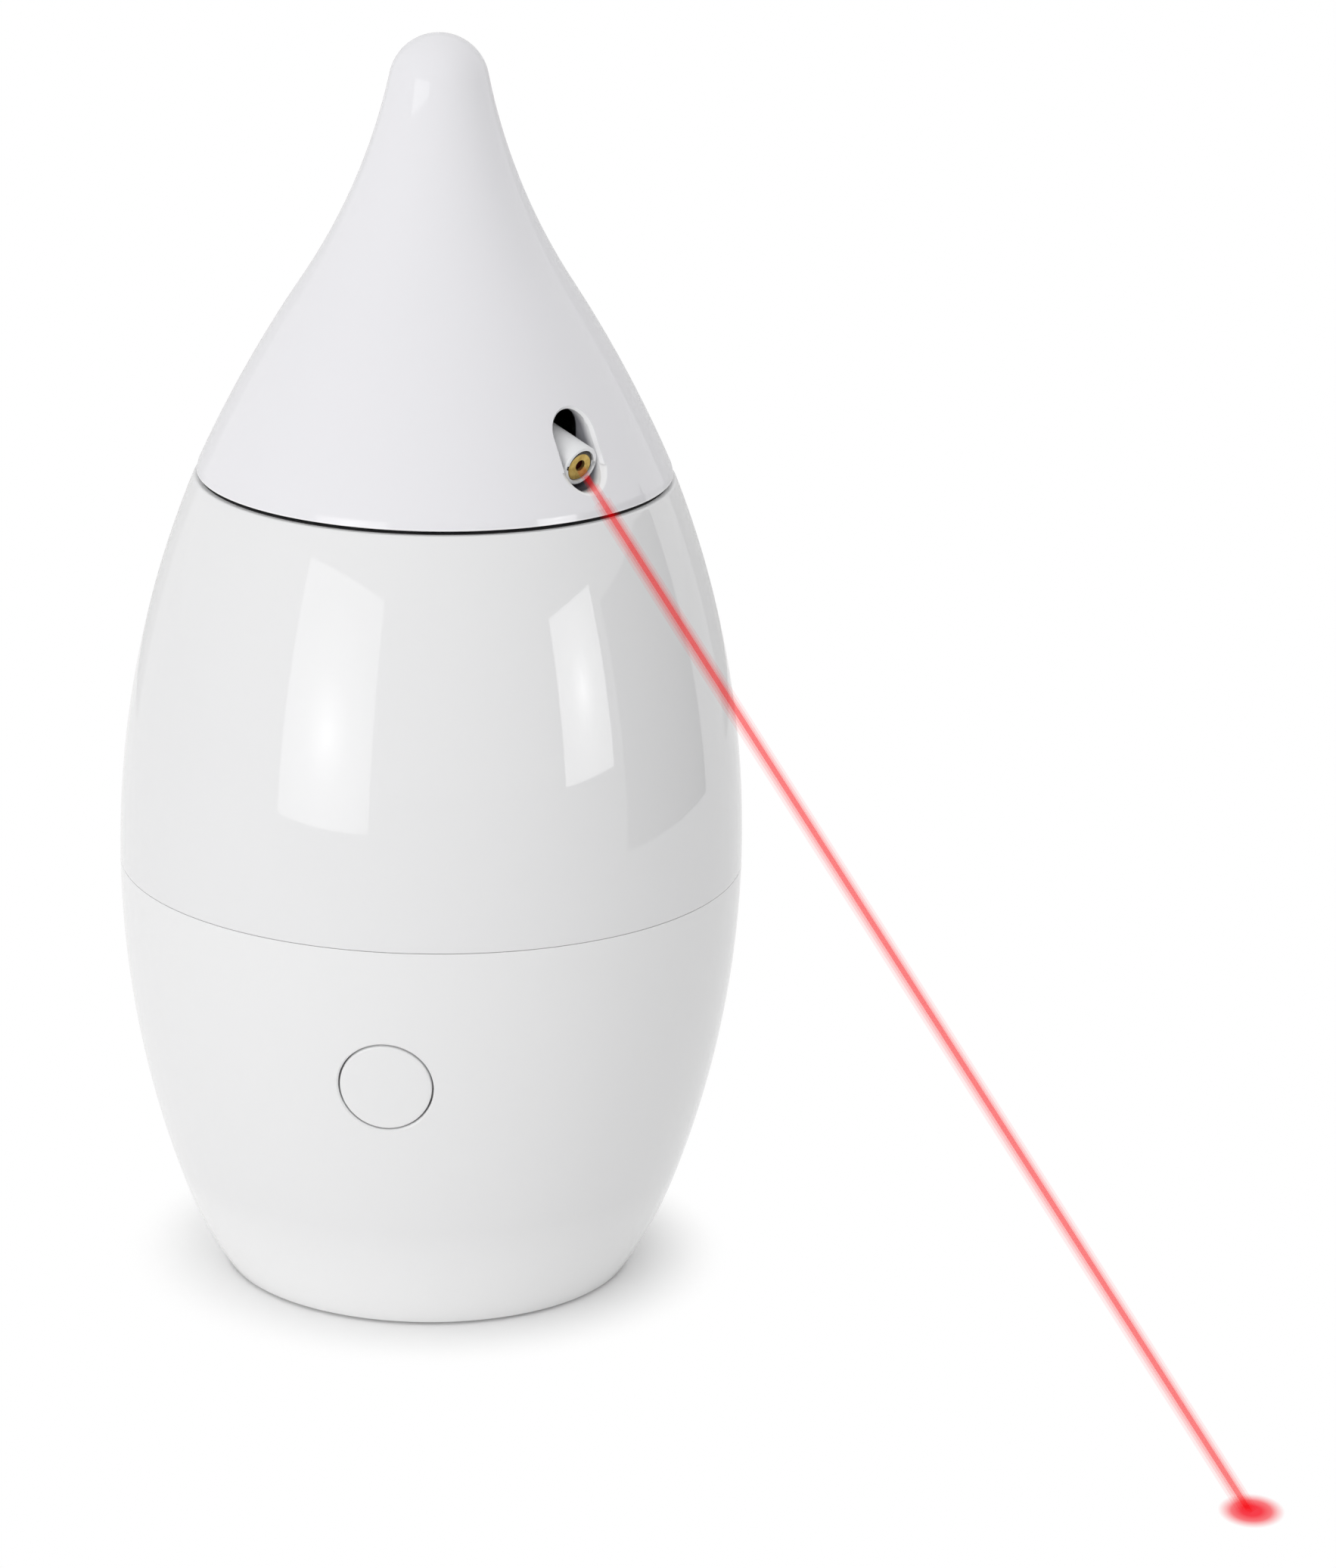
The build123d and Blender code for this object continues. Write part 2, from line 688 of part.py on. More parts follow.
def build_batteries():
    holder = cyl(holder_radius, plate_top, holder_top)
    holder += cyl(flange_radius, plate_top, plate_top + flange_thickness)
    bore = cell_radius + cell_gap
    for a in cell_angles:
        holder -= cyl(bore, plate_top, holder_top - holder_roof, polar(cell_circle, a))
    holder -= cyl(pilot, plate_top, plate_top + short_screw + tip_room)
    for a in holder_screw_angles:
        holder -= cyl(pilot, plate_top, plate_top + flange_thickness, polar(holder_screw_circle, a))
    holder -= cyl(door_opening, plate_top, cell_low)
    for a in lead_cells:
        holder -= cyl(lead_radius, holder_top - holder_roof, holder_top, polar(cell_circle, a))
    save("battery_holder", holder)
    seat = plate_top + flange_thickness
    reach = flange_thickness + holder_screw_bite
    places = [polar(holder_screw_circle, a) for a in holder_screw_angles]
    save("holder_screws", *[screw(reach, at, seat, up=False) for at in places])

    cells, plates, springs = [], [], []
    spring_high = cell_high + spring_length
    for a in cell_angles:
        at = polar(cell_circle, a)
        can = cyl(cell_radius, cell_low, cell_low + cell_length, at)
        can = fillet(can.edges(), cell_round)
        cells.append(can + cyl(cell_nub_radius, cell_low + cell_length, cell_high, at))
        plates.append(cyl(cell_radius - contact_inset, spring_high, spring_high + terminal_thickness, at))
        rise = spring_length - 2 * spring_wire
        path = Helix(pitch=rise / spring_turns, height=rise, radius=spring_radius)
        ring = Plane(origin=path @ 0, z_dir=path % 0) * Circle(spring_wire)
        coil = sweep(ring, path=path, is_frenet=True)
        springs.append(Pos(at[0], at[1], cell_high + spring_wire) * coil)
    save("battery_cells", *cells)
    save("battery_plates", *plates)
    save("battery_springs", *springs)


def build_door():
    low = foot_proud + door_recess
    door = cyl(door_radius, low, plate_top)
    seat = low + screw_head
    door -= cyl(pilot, low, plate_top) + cyl(screw_head_radius + head_room, low, seat)
    width, length, depth = door_notch
    notch = Pos(0, door_radius - door_notch_inset, low) * Box(width, length, 2 * depth)
    save("battery_door", door - notch)
    save("door_screw", screw(plate_top - seat + short_screw, (0, 0), seat))
    contacts = []
    for a in cell_angles:
        at = polar(cell_circle, a)
        contacts.append(cyl(cell_radius - contact_inset, plate_top, plate_top + contact_thickness, at))
    save("door_contacts", *contacts)


# ================================================================ button, switch and control board


def build_button():
    body = body_core(button_height - 3 * button_radius, button_height + 3 * button_radius, 0)
    cap = behind(-cut_reach, flange_depth, button_radius) & body
    cap += behind(flange_depth, stem_depth, flange_r)
    cap += behind(stem_depth, stem_end, stem_radius)
    save("power_button", cap)
    save("switch_plunger", behind(stem_end, stem_end + plunger_length, plunger_radius))
    well = plunger_length - plunger_exposed + button_travel + plunger_float
    switch = behind_box(switch_face, board_face, switch_size, switch_size)
    save("tact_switch", switch - behind(switch_face, switch_face + well, plunger_radius + running_fit))

    board = behind_box(board_face, board_back, board_width, board_length)
    for at in board_fixings():
        board -= behind(board_face, board_back, pilot, at)
    save("main_board", board)
    screws = []
    for at in board_fixings():
        screws.append(button_plane * Pos(at[0], at[1], -board_back) * screw(short_screw, (0, 0), 0))
    save("board_screws", *screws)
    chip_back = board_back + chip_size[2]
    save("control_chip", behind_box(board_back, chip_back, chip_size[0], chip_size[1], (0, chip_y)))
    save("capacitor", behind(board_back, board_back + capacitor_length, capacitor_radius, (0, capacitor_y)))


# ================================================================ deck, gearbox base, motor


def build_deck():
    deck_r = body_r(deck_height, wall) - deck_edge_gap
    deck = cyl(deck_r, deck_low, deck_height) + cyl(bush_boss_radius, bush_low, deck_low)
    for a in pillar_angles:
        at = polar(pillar_circle, a)
        deck += cyl(pillar_radius, gearbox_floor, deck_low, at)
        deck -= cyl(pilot, gearbox_floor, gearbox_floor + short_screw, at)
    deck -= cyl(bush_radius, bush_low, deck_height)
    for a in base_angles:
        deck -= cyl(pilot, deck_low, deck_height, polar(deck_boss_circle, a))
    for at in (gear_a_at, gear_b_at):
        deck -= cyl(pin_radius, deck_low, deck_height - pin_roof, at)
    save("deck_plate", deck)
    length = deck_boss_top - blind_end - tip_room - deck_low
    save("deck_screws", *[screw(length, polar(deck_boss_circle, a), deck_low) for a in base_angles])

    bush = cyl(bush_radius, bush_low, deck_height)
    bush += cyl(bush_flange_radius, deck_height, deck_height + bush_flange)
    save("spindle_bush", bush - cyl(spindle_radius + running_fit, bush_low, deck_height + bush_flange))

    base_low = gearbox_floor - gearbox_thickness
    length = short_screw + gearbox_thickness - tip_room
    base = cyl(gearbox_radius, base_low, gearbox_floor)
    for a in pillar_angles:
        base -= cyl(pilot, base_low, gearbox_floor, polar(pillar_circle, a))
    pocket = gearbox_floor - gearbox_thickness / 2
    for at in (gear_a_at, gear_b_at):
        base -= cyl(pin_radius, pocket, gearbox_floor, at)
    base -= cyl(spindle_radius + running_fit, pocket, gearbox_floor)
    base -= cyl(motor_nose_radius + motor_nose_fit, base_low, gearbox_floor, motor_at)
    for at in motor_fixings():
        base -= cyl(pilot, base_low, gearbox_floor, at)
        base -= cyl(screw_head_radius + head_room, gearbox_floor - screw_head, gearbox_floor, at)
    save("gearbox_base", base)
    seat = gearbox_floor - screw_head
    save("motor_screws", *[screw(seat - base_low + can_wall, at, seat, up=False) for at in motor_fixings()])
    save("gearbox_screws", *[screw(length, polar(pillar_circle, a), base_low) for a in pillar_angles])


def motor_fixings():
    return [(motor_at[0] + s * motor_screw_spread / 2, motor_at[1]) for s in (-1, 1)]


def motor_form(radius, across, low, high):
    return cyl(radius, low, high) & block(-radius, radius, -across / 2, across / 2, low, high)


def build_motor():
    top = gearbox_floor - gearbox_thickness
    low = top - motor_length
    place = Pos(*motor_at)
    cap_top = low + end_cap_length
    inner_r = motor_radius - can_wall
    inner_flat = motor_flat - 2 * can_wall
    bore = motor_shaft_radius + running_fit
    can = motor_form(motor_radius, motor_flat, cap_top, top)
    can -= motor_form(inner_r, inner_flat, cap_top, top - can_wall)
    can += cyl(motor_nose_radius, top, top + motor_nose)
    can -= cyl(bore, top - can_wall, top + motor_nose)
    for at in motor_fixings():
        can -= cyl(pilot, top - can_wall, top, (at[0] - motor_at[0], at[1] - motor_at[1]))
    save("motor_can", place * can)

    commutator_low = cap_top + bearing_floor
    armature_low = commutator_low + commutator_length + commutator_gap - bearing_floor
    armature_high = armature_low + armature_length
    magnet_in = armature_radius + magnet_gap
    ring = motor_form(inner_r, inner_flat, armature_low, armature_high)
    ring -= cyl(magnet_in, armature_low, armature_high)
    half = magnet_share * inner_flat / 2
    ring &= block(-motor_radius, motor_radius, -half, half, armature_low, armature_high)
    save("motor_magnets", *[place * magnet for magnet in ring.solids()])

    end_cap = motor_form(motor_radius, motor_flat, low, cap_top) - cyl(bore, low + bearing_floor, cap_top)
    save("motor_end_cap", place * end_cap)

    shaft_low = low + bearing_floor + running_fit
    save("motor_shaft", place * cyl(motor_shaft_radius, shaft_low, b_wheel_low - 0.5 * plane_gap))
    armature = cyl(armature_radius, armature_low, armature_high)
    armature += cyl(commutator_radius, commutator_low, armature_low)
    half = armature_slot / 2
    slot = block(armature_core, motor_radius, -half, half, armature_low, armature_high)
    for a in spread(3):
        armature -= turned(slot, a)
    armature -= cyl(motor_shaft_radius, cap_top, armature_high)
    save("motor_armature", place * armature)


def lead(*points):
    """Insulated wire through a few points, with round bends."""
    path = FilletPolyline(*points, radius=lead_bend)
    return sweep(Plane(origin=path @ 0, z_dir=path % 0) * Circle(lead_radius), path=path)


def build_leads():
    """Two leads from the board to the motor, and two from the outer cells to the board."""
    motor_low = gearbox_floor - gearbox_thickness - motor_length
    to_motor, to_cells = [], []
    for s in (-1, 1):
        x = motor_at[0] + s * lead_spread
        solder = button_plane.from_local_coords((x, lead_board_y, -board_back))
        clear = button_plane.from_local_coords((x, lead_board_y, -board_back - lead_start))
        end = (x, motor_at[1], motor_low)
        to_motor.append(lead(solder, clear, (x, motor_at[1], motor_low - lead_rise), end))
    for a in lead_cells:
        x, y = polar(cell_circle, a)
        solder = button_plane.from_local_coords((x, lead_board_y, -board_back))
        clear = button_plane.from_local_coords((x, lead_board_y, -board_back - lead_start))
        over = (x, y, holder_top + lead_rise)
        to_cells.append(lead((x, y, holder_top - holder_roof), over, clear, solder))
    save("motor_leads", *to_motor)
    save("battery_leads", *to_cells)


# ================================================================ spindle and head

carrier_radius = head_r(carrier_top, wall) - carrier_edge_gap
spindle_top = carrier_top + standoff
laser_angles = spread(laser_count, laser_angle)
head_boss_angles = [a + s * head_boss_offset for a in laser_angles for s in (-1, 1)]
follower_swing = (pivot_height - carrier_low) * math.sin(math.radians(tilt_range))
barrel_side = barrel_radius + ear_gap


def stadium(half_width, half_height, x_low, x_high):
    """Upright stadium prism along +X, centred on the slot."""
    face = Plane.YZ * SlotOverall(2 * half_height, 2 * half_width, rotation=90)
    return Pos(x_low, 0, slot_height) * extrude(face, x_high - x_low)


def on_slot_lip(edge):
    """True for the edges that a slot leaves in the head's outer surface."""
    for t in (0.1, 0.5, 0.9):
        point = edge @ t
        if abs(point.Z - slot_height) > slot_half_height + 2 * pick_tolerance:
            return False
        if abs(math.hypot(point.X, point.Y) - head_r(point.Z)) > pick_tolerance:
            return False
    return True


def build_head_shell():
    shell = head_core(head_low, 0) - head_core(head_low, wall)
    band = cyl(head_rim_radius + cut_reach, head_low, head_low + rim_band)
    shell -= band - (head_core(head_low, rim_band_inset) & band)
    core = head_core(head_low, wall / 2)
    shroud = (slot_half_width + shroud_wall, slot_half_height + shroud_wall)
    for a in laser_angles:
        shell += turned(stadium(*shroud, shroud_end, head_rim_radius), a) & core
    for at in [polar(head_boss_circle, a) for a in head_boss_angles]:
        boss = cyl(head_boss_radius, carrier_top, neck_point[1], at) & core
        shell += boss - cyl(pilot, carrier_top, carrier_top + short_screw, at)
    slot = stadium(slot_half_width, slot_half_height, shroud_end - shroud_wall, head_rim_radius + cut_reach)
    for a in laser_angles:
        shell -= turned(slot, a)
    lip = shell.edges().filter_by(on_slot_lip)
    save("head_shell", chamfer(lip, slot_lip))


def on_head_board(across, along_rim, low, high):
    middle = head_board_circle
    return block(middle - across / 2, middle + across / 2, -along_rim / 2, along_rim / 2, low, high)


def build_carrier():
    disc = cyl(carrier_radius, carrier_low, carrier_top)
    hub_low = deck_height + bush_flange + end_float
    disc += cyl(spindle_hub_radius, hub_low, spindle_top)
    for a in laser_angles:
        ears = []
        for side in (-1, 1):
            near = side * barrel_side
            far = side * (barrel_side + ear_thickness)
            ear = block(pivot_radius - ear_half_length, pivot_radius + ear_half_length,
                        min(near, far), max(near, far), carrier_top, pivot_height)
            rounded = Pos(pivot_radius, (near + far) / 2, pivot_height) * Rot(90, 0, 0)
            ear += rounded * Cylinder(ear_half_length, ear_thickness)
            ear -= rounded * Cylinder(trunnion_radius + running_fit, ear_thickness * 2)
            ears.append(turned(ear, a))
        room = follower_radius + window_clearance
        far = follower_at + room + follower_swing
        window = block(follower_at - room, far, -room, room, carrier_low, carrier_top)
        disc = disc + ears - turned(window, a)
    for a in head_boss_angles:
        disc -= cyl(pilot, carrier_low, carrier_top, polar(head_boss_circle, a))
    disc -= cyl(spindle_radius, hub_low, spindle_top)
    board_angle = laser_angle + 90
    for s in (-1, 1):
        post = cyl(standoff_radius, carrier_top, spindle_top, (head_board_circle, s * standoff_spread))
        disc += turned(post, board_angle)
    save("head_carrier", disc)

    screws = [screw(short_screw, polar(head_boss_circle, a), carrier_low) for a in head_boss_angles]
    save("carrier_screws", *screws)
    pocket = gearbox_floor - gearbox_thickness / 2
    spindle = cyl(spindle_radius, pocket + running_fit, spindle_top)
    spindle += cyl(collar_radius, a_wheel_low, output_low)
    save("spindle", spindle - cyl(pilot, spindle_top - short_screw - tip_room, spindle_top))
    save("spindle_screw", screw(short_screw, (0, 0), spindle_top, up=False, head=spindle_screw_head))

    board_top = spindle_top + board_thickness
    board = on_head_board(head_board_size[1], head_board_size[0], spindle_top, board_top)
    board += on_head_board(head_socket[0], head_socket[1], board_top, board_top + head_socket[2])
    save("head_board", turned(board, board_angle))


def build_slip_ring():
    board_top = deck_height + slip_board_thickness
    save("slip_ring_board", tube(slip_board_outer, slip_board_inner, deck_height, board_top))
    tracks = []
    for r in track_radii:
        tracks.append(tube(r + track_width / 2, r - track_width / 2, board_top, board_top + track_thickness))
    save("slip_ring_tracks", *tracks)
    angle = laser_angle + 90
    middle = track_radii[1]
    low = carrier_low - brush_block[2]
    near, side = middle - brush_block[0] / 2, brush_block[1] / 2
    save("brush_holder", turned(block(near, near + brush_block[0], -side, side, low, carrier_low), angle))
    touch = board_top + track_thickness + brush_gap
    root = brush_root - side
    tip = (brush_reach + brush_tail[0], touch + brush_tail[1])
    brushes = []
    for r in track_radii:
        line = [(root, low), (root, low - brush_root), (brush_reach, touch), tip]
        back = [(y + brush_leaf / 2, z + brush_leaf) for y, z in reversed(line[1:])]
        back.append((root + brush_leaf, low))
        face = make_face(Polyline(*[(0, y, z) for y, z in line + back], close=True))
        leaf = extrude(face, brush_width, dir=(1, 0, 0))
        brushes.append(turned(Pos(r - brush_width / 2, 0, 0) * leaf, angle))
    save("contact_brushes", *brushes)


def build_cam():
    """Face cam: its top is cut by a slanted plane, so that it lifts each follower once a turn."""
    crest = follower_foot - cam_clearance
    middle = crest - cam_rise / 2
    slope = math.degrees(math.atan2(cam_rise / 2, follower_at + cam_width / 2))
    ring = tube(follower_at + cam_width / 2, follower_at - cam_width / 2, deck_height, crest + cam_rise)
    span = 4 * follower_at
    above = Pos(0, 0, middle) * Rot(0, slope, 0) * Pos(0, 0, span / 2) * Box(span, span, span)
    save("cam_ring", ring - above)


# ================================================================ lasers


def along(s_from, s_to, radius):
    """Cylinder on the barrel's own axis, between two distances in front of the pivot."""
    return Pos((s_from + s_to) / 2, 0, 0) * Rot(0, 90, 0) * Cylinder(radius, s_to - s_from)


def build_laser(letter, angle):
    place = Rot(0, 0, angle) * Pos(pivot_radius, 0, pivot_height) * Rot(0, barrel_depression, 0)
    face = barrel_reach - module_recess
    rear = face - module_length
    barrel = along(-barrel_tail, barrel_reach, barrel_radius)
    barrel = chamfer(barrel.edges().sort_by(Axis.X)[-1], barrel_chamfer)
    barrel -= along(rear - diode_length, barrel_reach, barrel_bore)
    barrel -= along(-barrel_tail, barrel_reach, lead_bore)
    for a in (60, 180, 300):
        rib = block(rear, face - rib_setback, -rib_width / 2, rib_width / 2,
                    module_radius, barrel_bore + root_sink)
        rib -= along(rear, barrel_reach, module_radius)
        barrel += Rot(a, 0, 0) * rib
    deep, wide, high = barrel_notch
    notch = block(barrel_reach - deep, barrel_reach + cut_reach, barrel_bore - root_sink, barrel_bore + high,
                  -wide / 2, wide / 2)
    barrel -= notch + Rot(180, 0, 0) * notch
    pin = Rot(90, 0, 0) * Cylinder(trunnion_radius, 2 * (barrel_radius + trunnion_length))
    barrel += pin - along(-barrel_tail, barrel_reach, barrel_radius - root_sink)
    upright = Rot(0, -barrel_depression, 0)
    arm = Pos(follower_offset, 0, -follower_drop / 2) * Cylinder(follower_radius, follower_drop)
    arm = fillet(arm.edges().sort_by(Axis.Z)[0], follower_round)
    barrel += upright * arm - along(-barrel_tail, barrel_reach, barrel_radius - root_sink)
    save("laser_barrel_" + letter, place * barrel)

    module = along(rear, face, module_radius) - along(rear, face - module_wall, module_radius - module_wall)
    module -= along(rear, face, aperture_radius)
    module = chamfer(module.edges().filter_by(GeomType.CIRCLE).sort_by(SortBy.DISTANCE)[-1], module_chamfer)
    save("laser_module_" + letter, place * module)
    lens_front = face - module_wall
    lens = along(lens_front - lens_thickness, lens_front, module_radius - module_wall)
    save("laser_lens_" + letter, place * lens)
    board = along(rear - laser_board_thickness, rear, module_radius - root_sink)
    diode = along(rear, rear + diode_length, diode_radius)
    diode += along(rear, rear + diode_flange[1], diode_flange[0])
    save("laser_diode_" + letter, place * diode)
    save("laser_board_" + letter, place * board)


build_lower_housing()
build_upper_housing()
build_housing_screws()
build_base()
build_batteries()
build_door()
build_button()
build_gears()
build_deck()
build_motor()
build_leads()
build_head_shell()
build_carrier()
build_slip_ring()
build_cam()
for name, angle in zip("ab", laser_angles):
    build_laser(name, angle)
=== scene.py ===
import math

import bmesh
import bpy
from mathutils import Matrix, Vector
from mathutils.bvhtree import BVHTree


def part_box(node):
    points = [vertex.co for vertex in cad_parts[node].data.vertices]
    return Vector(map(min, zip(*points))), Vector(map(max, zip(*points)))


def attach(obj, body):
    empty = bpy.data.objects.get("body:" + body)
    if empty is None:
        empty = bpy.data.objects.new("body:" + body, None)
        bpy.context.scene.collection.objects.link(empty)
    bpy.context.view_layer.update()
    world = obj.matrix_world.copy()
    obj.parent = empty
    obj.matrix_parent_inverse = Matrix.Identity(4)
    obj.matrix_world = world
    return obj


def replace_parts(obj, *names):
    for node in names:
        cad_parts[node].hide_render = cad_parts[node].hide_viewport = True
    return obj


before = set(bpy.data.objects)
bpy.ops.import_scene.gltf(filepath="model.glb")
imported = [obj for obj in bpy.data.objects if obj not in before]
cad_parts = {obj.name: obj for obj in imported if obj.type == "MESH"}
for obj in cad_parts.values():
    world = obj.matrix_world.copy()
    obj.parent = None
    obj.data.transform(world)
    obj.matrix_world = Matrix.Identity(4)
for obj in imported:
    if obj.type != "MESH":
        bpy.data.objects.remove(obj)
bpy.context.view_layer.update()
print("frame loaded:", len(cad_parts), "CAD nodes")

# Forms are written in millimetres and scaled to metres when a piece is finished.
mm = 0.001


class Sock:
    # output of a shader node that takes part in plain expressions
    def __init__(self, shader, out):
        self.shader = shader
        self.out = out

    def maths(self, operation, first, second=0.0):
        return self.shader.node("ShaderNodeMath", dict(operation=operation), {0: first, 1: second})

    def __add__(self, other):
        return self.maths("ADD", self, other)

    __radd__ = __add__

    def __sub__(self, other):
        return self.maths("SUBTRACT", self, other)

    def __rsub__(self, other):
        return self.maths("SUBTRACT", other, self)

    def __mul__(self, other):
        return self.maths("MULTIPLY", self, other)

    __rmul__ = __mul__

    def __truediv__(self, other):
        return self.maths("DIVIDE", self, other)

    def atLeast(self, other):
        return self.maths("MAXIMUM", self, other)


class Shader:
    def __init__(self, name, holder=None):
        self.holder = holder or bpy.data.materials.new(name)
        self.holder.use_nodes = True
        self.nodes = self.holder.node_tree.nodes
        self.links = self.holder.node_tree.links

    def plug(self, socket, value):
        if isinstance(value, Sock):
            self.links.new(value.out, socket)
        elif isinstance(value, tuple) and socket.type == "RGBA":
            socket.default_value = (*value[:3], 1.0)
        else:
            socket.default_value = value

    def node(self, kind, settings=None, values=None, output=0):
        made = self.nodes.new(kind)
        for key, value in (settings or {}).items():
            if key == "stops":
                while len(made.color_ramp.elements) < len(value):
                    made.color_ramp.elements.new(0.5)
                for stop, (place, level) in zip(made.color_ramp.elements, value):
                    stop.position = place
                    stop.color = (level, level, level, 1.0)
            else:
                setattr(made, key, value)
        for key, value in (values or {}).items():
            self.plug(made.inputs[key], value)
        return Sock(self, made.outputs[output])

    def set(self, name, value):
        self.plug(self.nodes["Principled BSDF"].inputs[name], value)

    def place(self):
        return self.node("ShaderNodeTexCoord", output="Object")

    def moved(self, place, location=(0, 0, 0), rotation=(0, 0, 0), scale=(1, 1, 1)):
        return self.node("ShaderNodeMapping", None,
                         {"Vector": place, "Location": location, "Rotation": rotation, "Scale": scale})

    def noise(self, place, scale, detail=3.0, distortion=0.0):
        return self.node("ShaderNodeTexNoise", None,
                         {"Vector": place, "Scale": scale, "Detail": detail, "Distortion": distortion})

    def blend(self, share, first, second):
        return self.node("ShaderNodeMix", dict(data_type="RGBA"), {0: share, 6: first, 7: second}, 2)

    def ramp(self, value, stops):
        return self.node("ShaderNodeValToRGB", dict(stops=stops), {0: value})

    def fadeIn(self, value, between):
        return self.ramp(value, [(between[0], 0.0), (between[1], 1.0)])

    def fadeOut(self, value, between):
        return self.ramp(value, [(between[0], 1.0), (between[1], 0.0)])

    def length(self, vector):
        return self.node("ShaderNodeVectorMath", dict(operation="LENGTH"), {0: vector}, "Value")

    def along(self, vector, axis):
        return self.node("ShaderNodeSeparateXYZ", None, {0: vector}, axis)

    def bump(self, height, depth):
        bumped = self.node("ShaderNodeBump", None, {"Height": height, "Distance": depth, "Strength": 1.0})
        self.set("Normal", bumped)

    def mixShaders(self, share, first, second):
        # shows the second shader where share is 1, the first where it is 0, and no Principled one
        self.nodes.remove(self.nodes["Principled BSDF"])
        mixed = self.node("ShaderNodeMixShader", None, {0: share, 1: first, 2: second})
        self.plug(self.nodes["Material Output"].inputs["Surface"], mixed)


cloudBetween = (0.35, 0.65)  # levels of the cloud noise at which a plastic's two tones are plain
mouldedIor = 1.48


def plastic(name, look):
    s = Shader(name)
    place = s.place()
    cloud = s.noise(place, look["cloud"], 2.0)
    grain = s.noise(place, look["grain"], 4.0)
    s.set("Base Color", s.blend(s.fadeIn(cloud, cloudBetween), look["colour"], look["shade"]))
    s.set("Roughness", look["roughness"] + (grain - 0.5) * look["swing"])
    s.set("IOR", look.get("ior", mouldedIor))
    s.bump(grain, look["depth"])
    return s.holder


def metal(name, look):
    s = Shader(name)
    place = s.place()
    cloud = s.noise(place, look["cloud"], 4.0)
    streak = s.noise(s.moved(place, scale=look["stretch"]), look["grain"], 3.0)
    s.set("Base Color", s.blend(cloud, look["colour"], look["shade"]))
    s.set("Roughness", look["roughness"] + (streak - 0.5) * look["swing"])
    s.set("Metallic", 1.0)
    s.bump(streak, look["depth"])
    return s.holder


gloss = dict(roughness=0.03, swing=0.01, cloud=18.0, ior=1.47)  # what the polished shells share

plasticLooks = {
    "glossyWhite": dict(gloss, colour=(0.818, 0.818, 0.823), shade=(0.808, 0.808, 0.814), grain=900.0,
                        depth=0.0000001),
    # black for the ring in the seam: painted shadow
    "shadowBlack": dict(colour=(0.012, 0.012, 0.013), shade=(0.02, 0.02, 0.021), roughness=0.95, swing=0.05,
                      cloud=300.0, grain=5000.0, depth=0.00003),
    "satinWhite": dict(colour=(0.84, 0.845, 0.855), shade=(0.80, 0.81, 0.825), roughness=0.38, swing=0.08,
                       cloud=120.0, grain=2200.0, depth=0.000003),
    "textureWhite": dict(colour=(0.74, 0.75, 0.76), shade=(0.71, 0.72, 0.735), roughness=0.55, swing=0.12,
                         cloud=60.0, grain=2600.0, depth=0.00002),
    "blackMoulding": dict(colour=(0.022, 0.022, 0.025), shade=(0.034, 0.033, 0.036), roughness=0.5,
                          swing=0.15, cloud=80.0, grain=2500.0, depth=0.00001),
    "greyMoulding": dict(colour=(0.20, 0.21, 0.225), shade=(0.16, 0.17, 0.185), roughness=0.5, swing=0.12,
                         cloud=70.0, grain=2500.0, depth=0.00001),
    "gearNylon": dict(colour=(0.78, 0.74, 0.63), shade=(0.72, 0.68, 0.56), roughness=0.42, swing=0.1,
                      cloud=150.0, grain=1800.0, depth=0.000006),
    "acetal": dict(colour=(0.72, 0.72, 0.70), shade=(0.66, 0.66, 0.64), roughness=0.4, swing=0.1,
                   cloud=150.0, grain=1800.0, depth=0.000005),
    "footRubber": dict(colour=(0.035, 0.035, 0.038), shade=(0.05, 0.05, 0.052), roughness=0.82, swing=0.15,
                       cloud=250.0, grain=3500.0, depth=0.00002),
    "ferrite": dict(colour=(0.03, 0.03, 0.032), shade=(0.06, 0.06, 0.06), roughness=0.6, swing=0.2,
                    cloud=400.0, grain=4000.0, depth=0.00003),
    "leadSleeve": dict(colour=(0.42, 0.02, 0.02), shade=(0.34, 0.015, 0.015), roughness=0.4, swing=0.1,
                       cloud=90.0, grain=1500.0, depth=0.000004),
    "laserLens": dict(colour=(0.05, 0.001, 0.001), shade=(0.018, 0.0004, 0.0004), roughness=0.3, swing=0.05,
                      cloud=500.0, grain=900.0, depth=0.000001, ior=1.08),
}

metalLooks = {
    "zincSteel": dict(colour=(0.56, 0.57, 0.60), shade=(0.48, 0.49, 0.52), roughness=0.32, swing=0.2,
                      cloud=300.0, grain=900.0, stretch=(1.0, 1.0, 0.1), depth=0.000004),
    "phosphorBronze": dict(colour=(0.72, 0.40, 0.20), shade=(0.62, 0.33, 0.16), roughness=0.3, swing=0.2,
                           cloud=300.0, grain=1200.0, stretch=(1.0, 1.0, 1.0), depth=0.000003),
    "canAluminium": dict(colour=(0.10, 0.11, 0.28), shade=(0.08, 0.09, 0.22), roughness=0.35, swing=0.15,
                         cloud=200.0, grain=1500.0, stretch=(1.0, 0.2, 1.0), depth=0.000003),
}

finishes = {name: plastic(name, look) for name, look in plasticLooks.items()}
finishes.update({name: metal(name, look) for name, look in metalLooks.items()})


brass = dict(colour=(0.60, 0.43, 0.13), shade=(0.44, 0.29, 0.075), metallic=0.85, roughness=0.36, swing=0.3,
             blotch=900.0, blotchBetween=(0.38, 0.62), rings=9000.0, ringShare=0.6, depth=0.000012)
# the aperture is painted dark red: painted shade in the hole, with the red of the laser lens
brassBore = dict(colour=(0.028, 0.002, 0.003), span=2.0, between=(0.46, 0.49))
# painted shadow: a dark crescent beyond an off-centre circle, where the recessed disc meets the barrel's wall
brassPaintedShadow = dict(colour=(0.03, 0.02, 0.012), shift=(0.0, 0.12, 0.27), span=5.0, between=(0.452, 0.462))


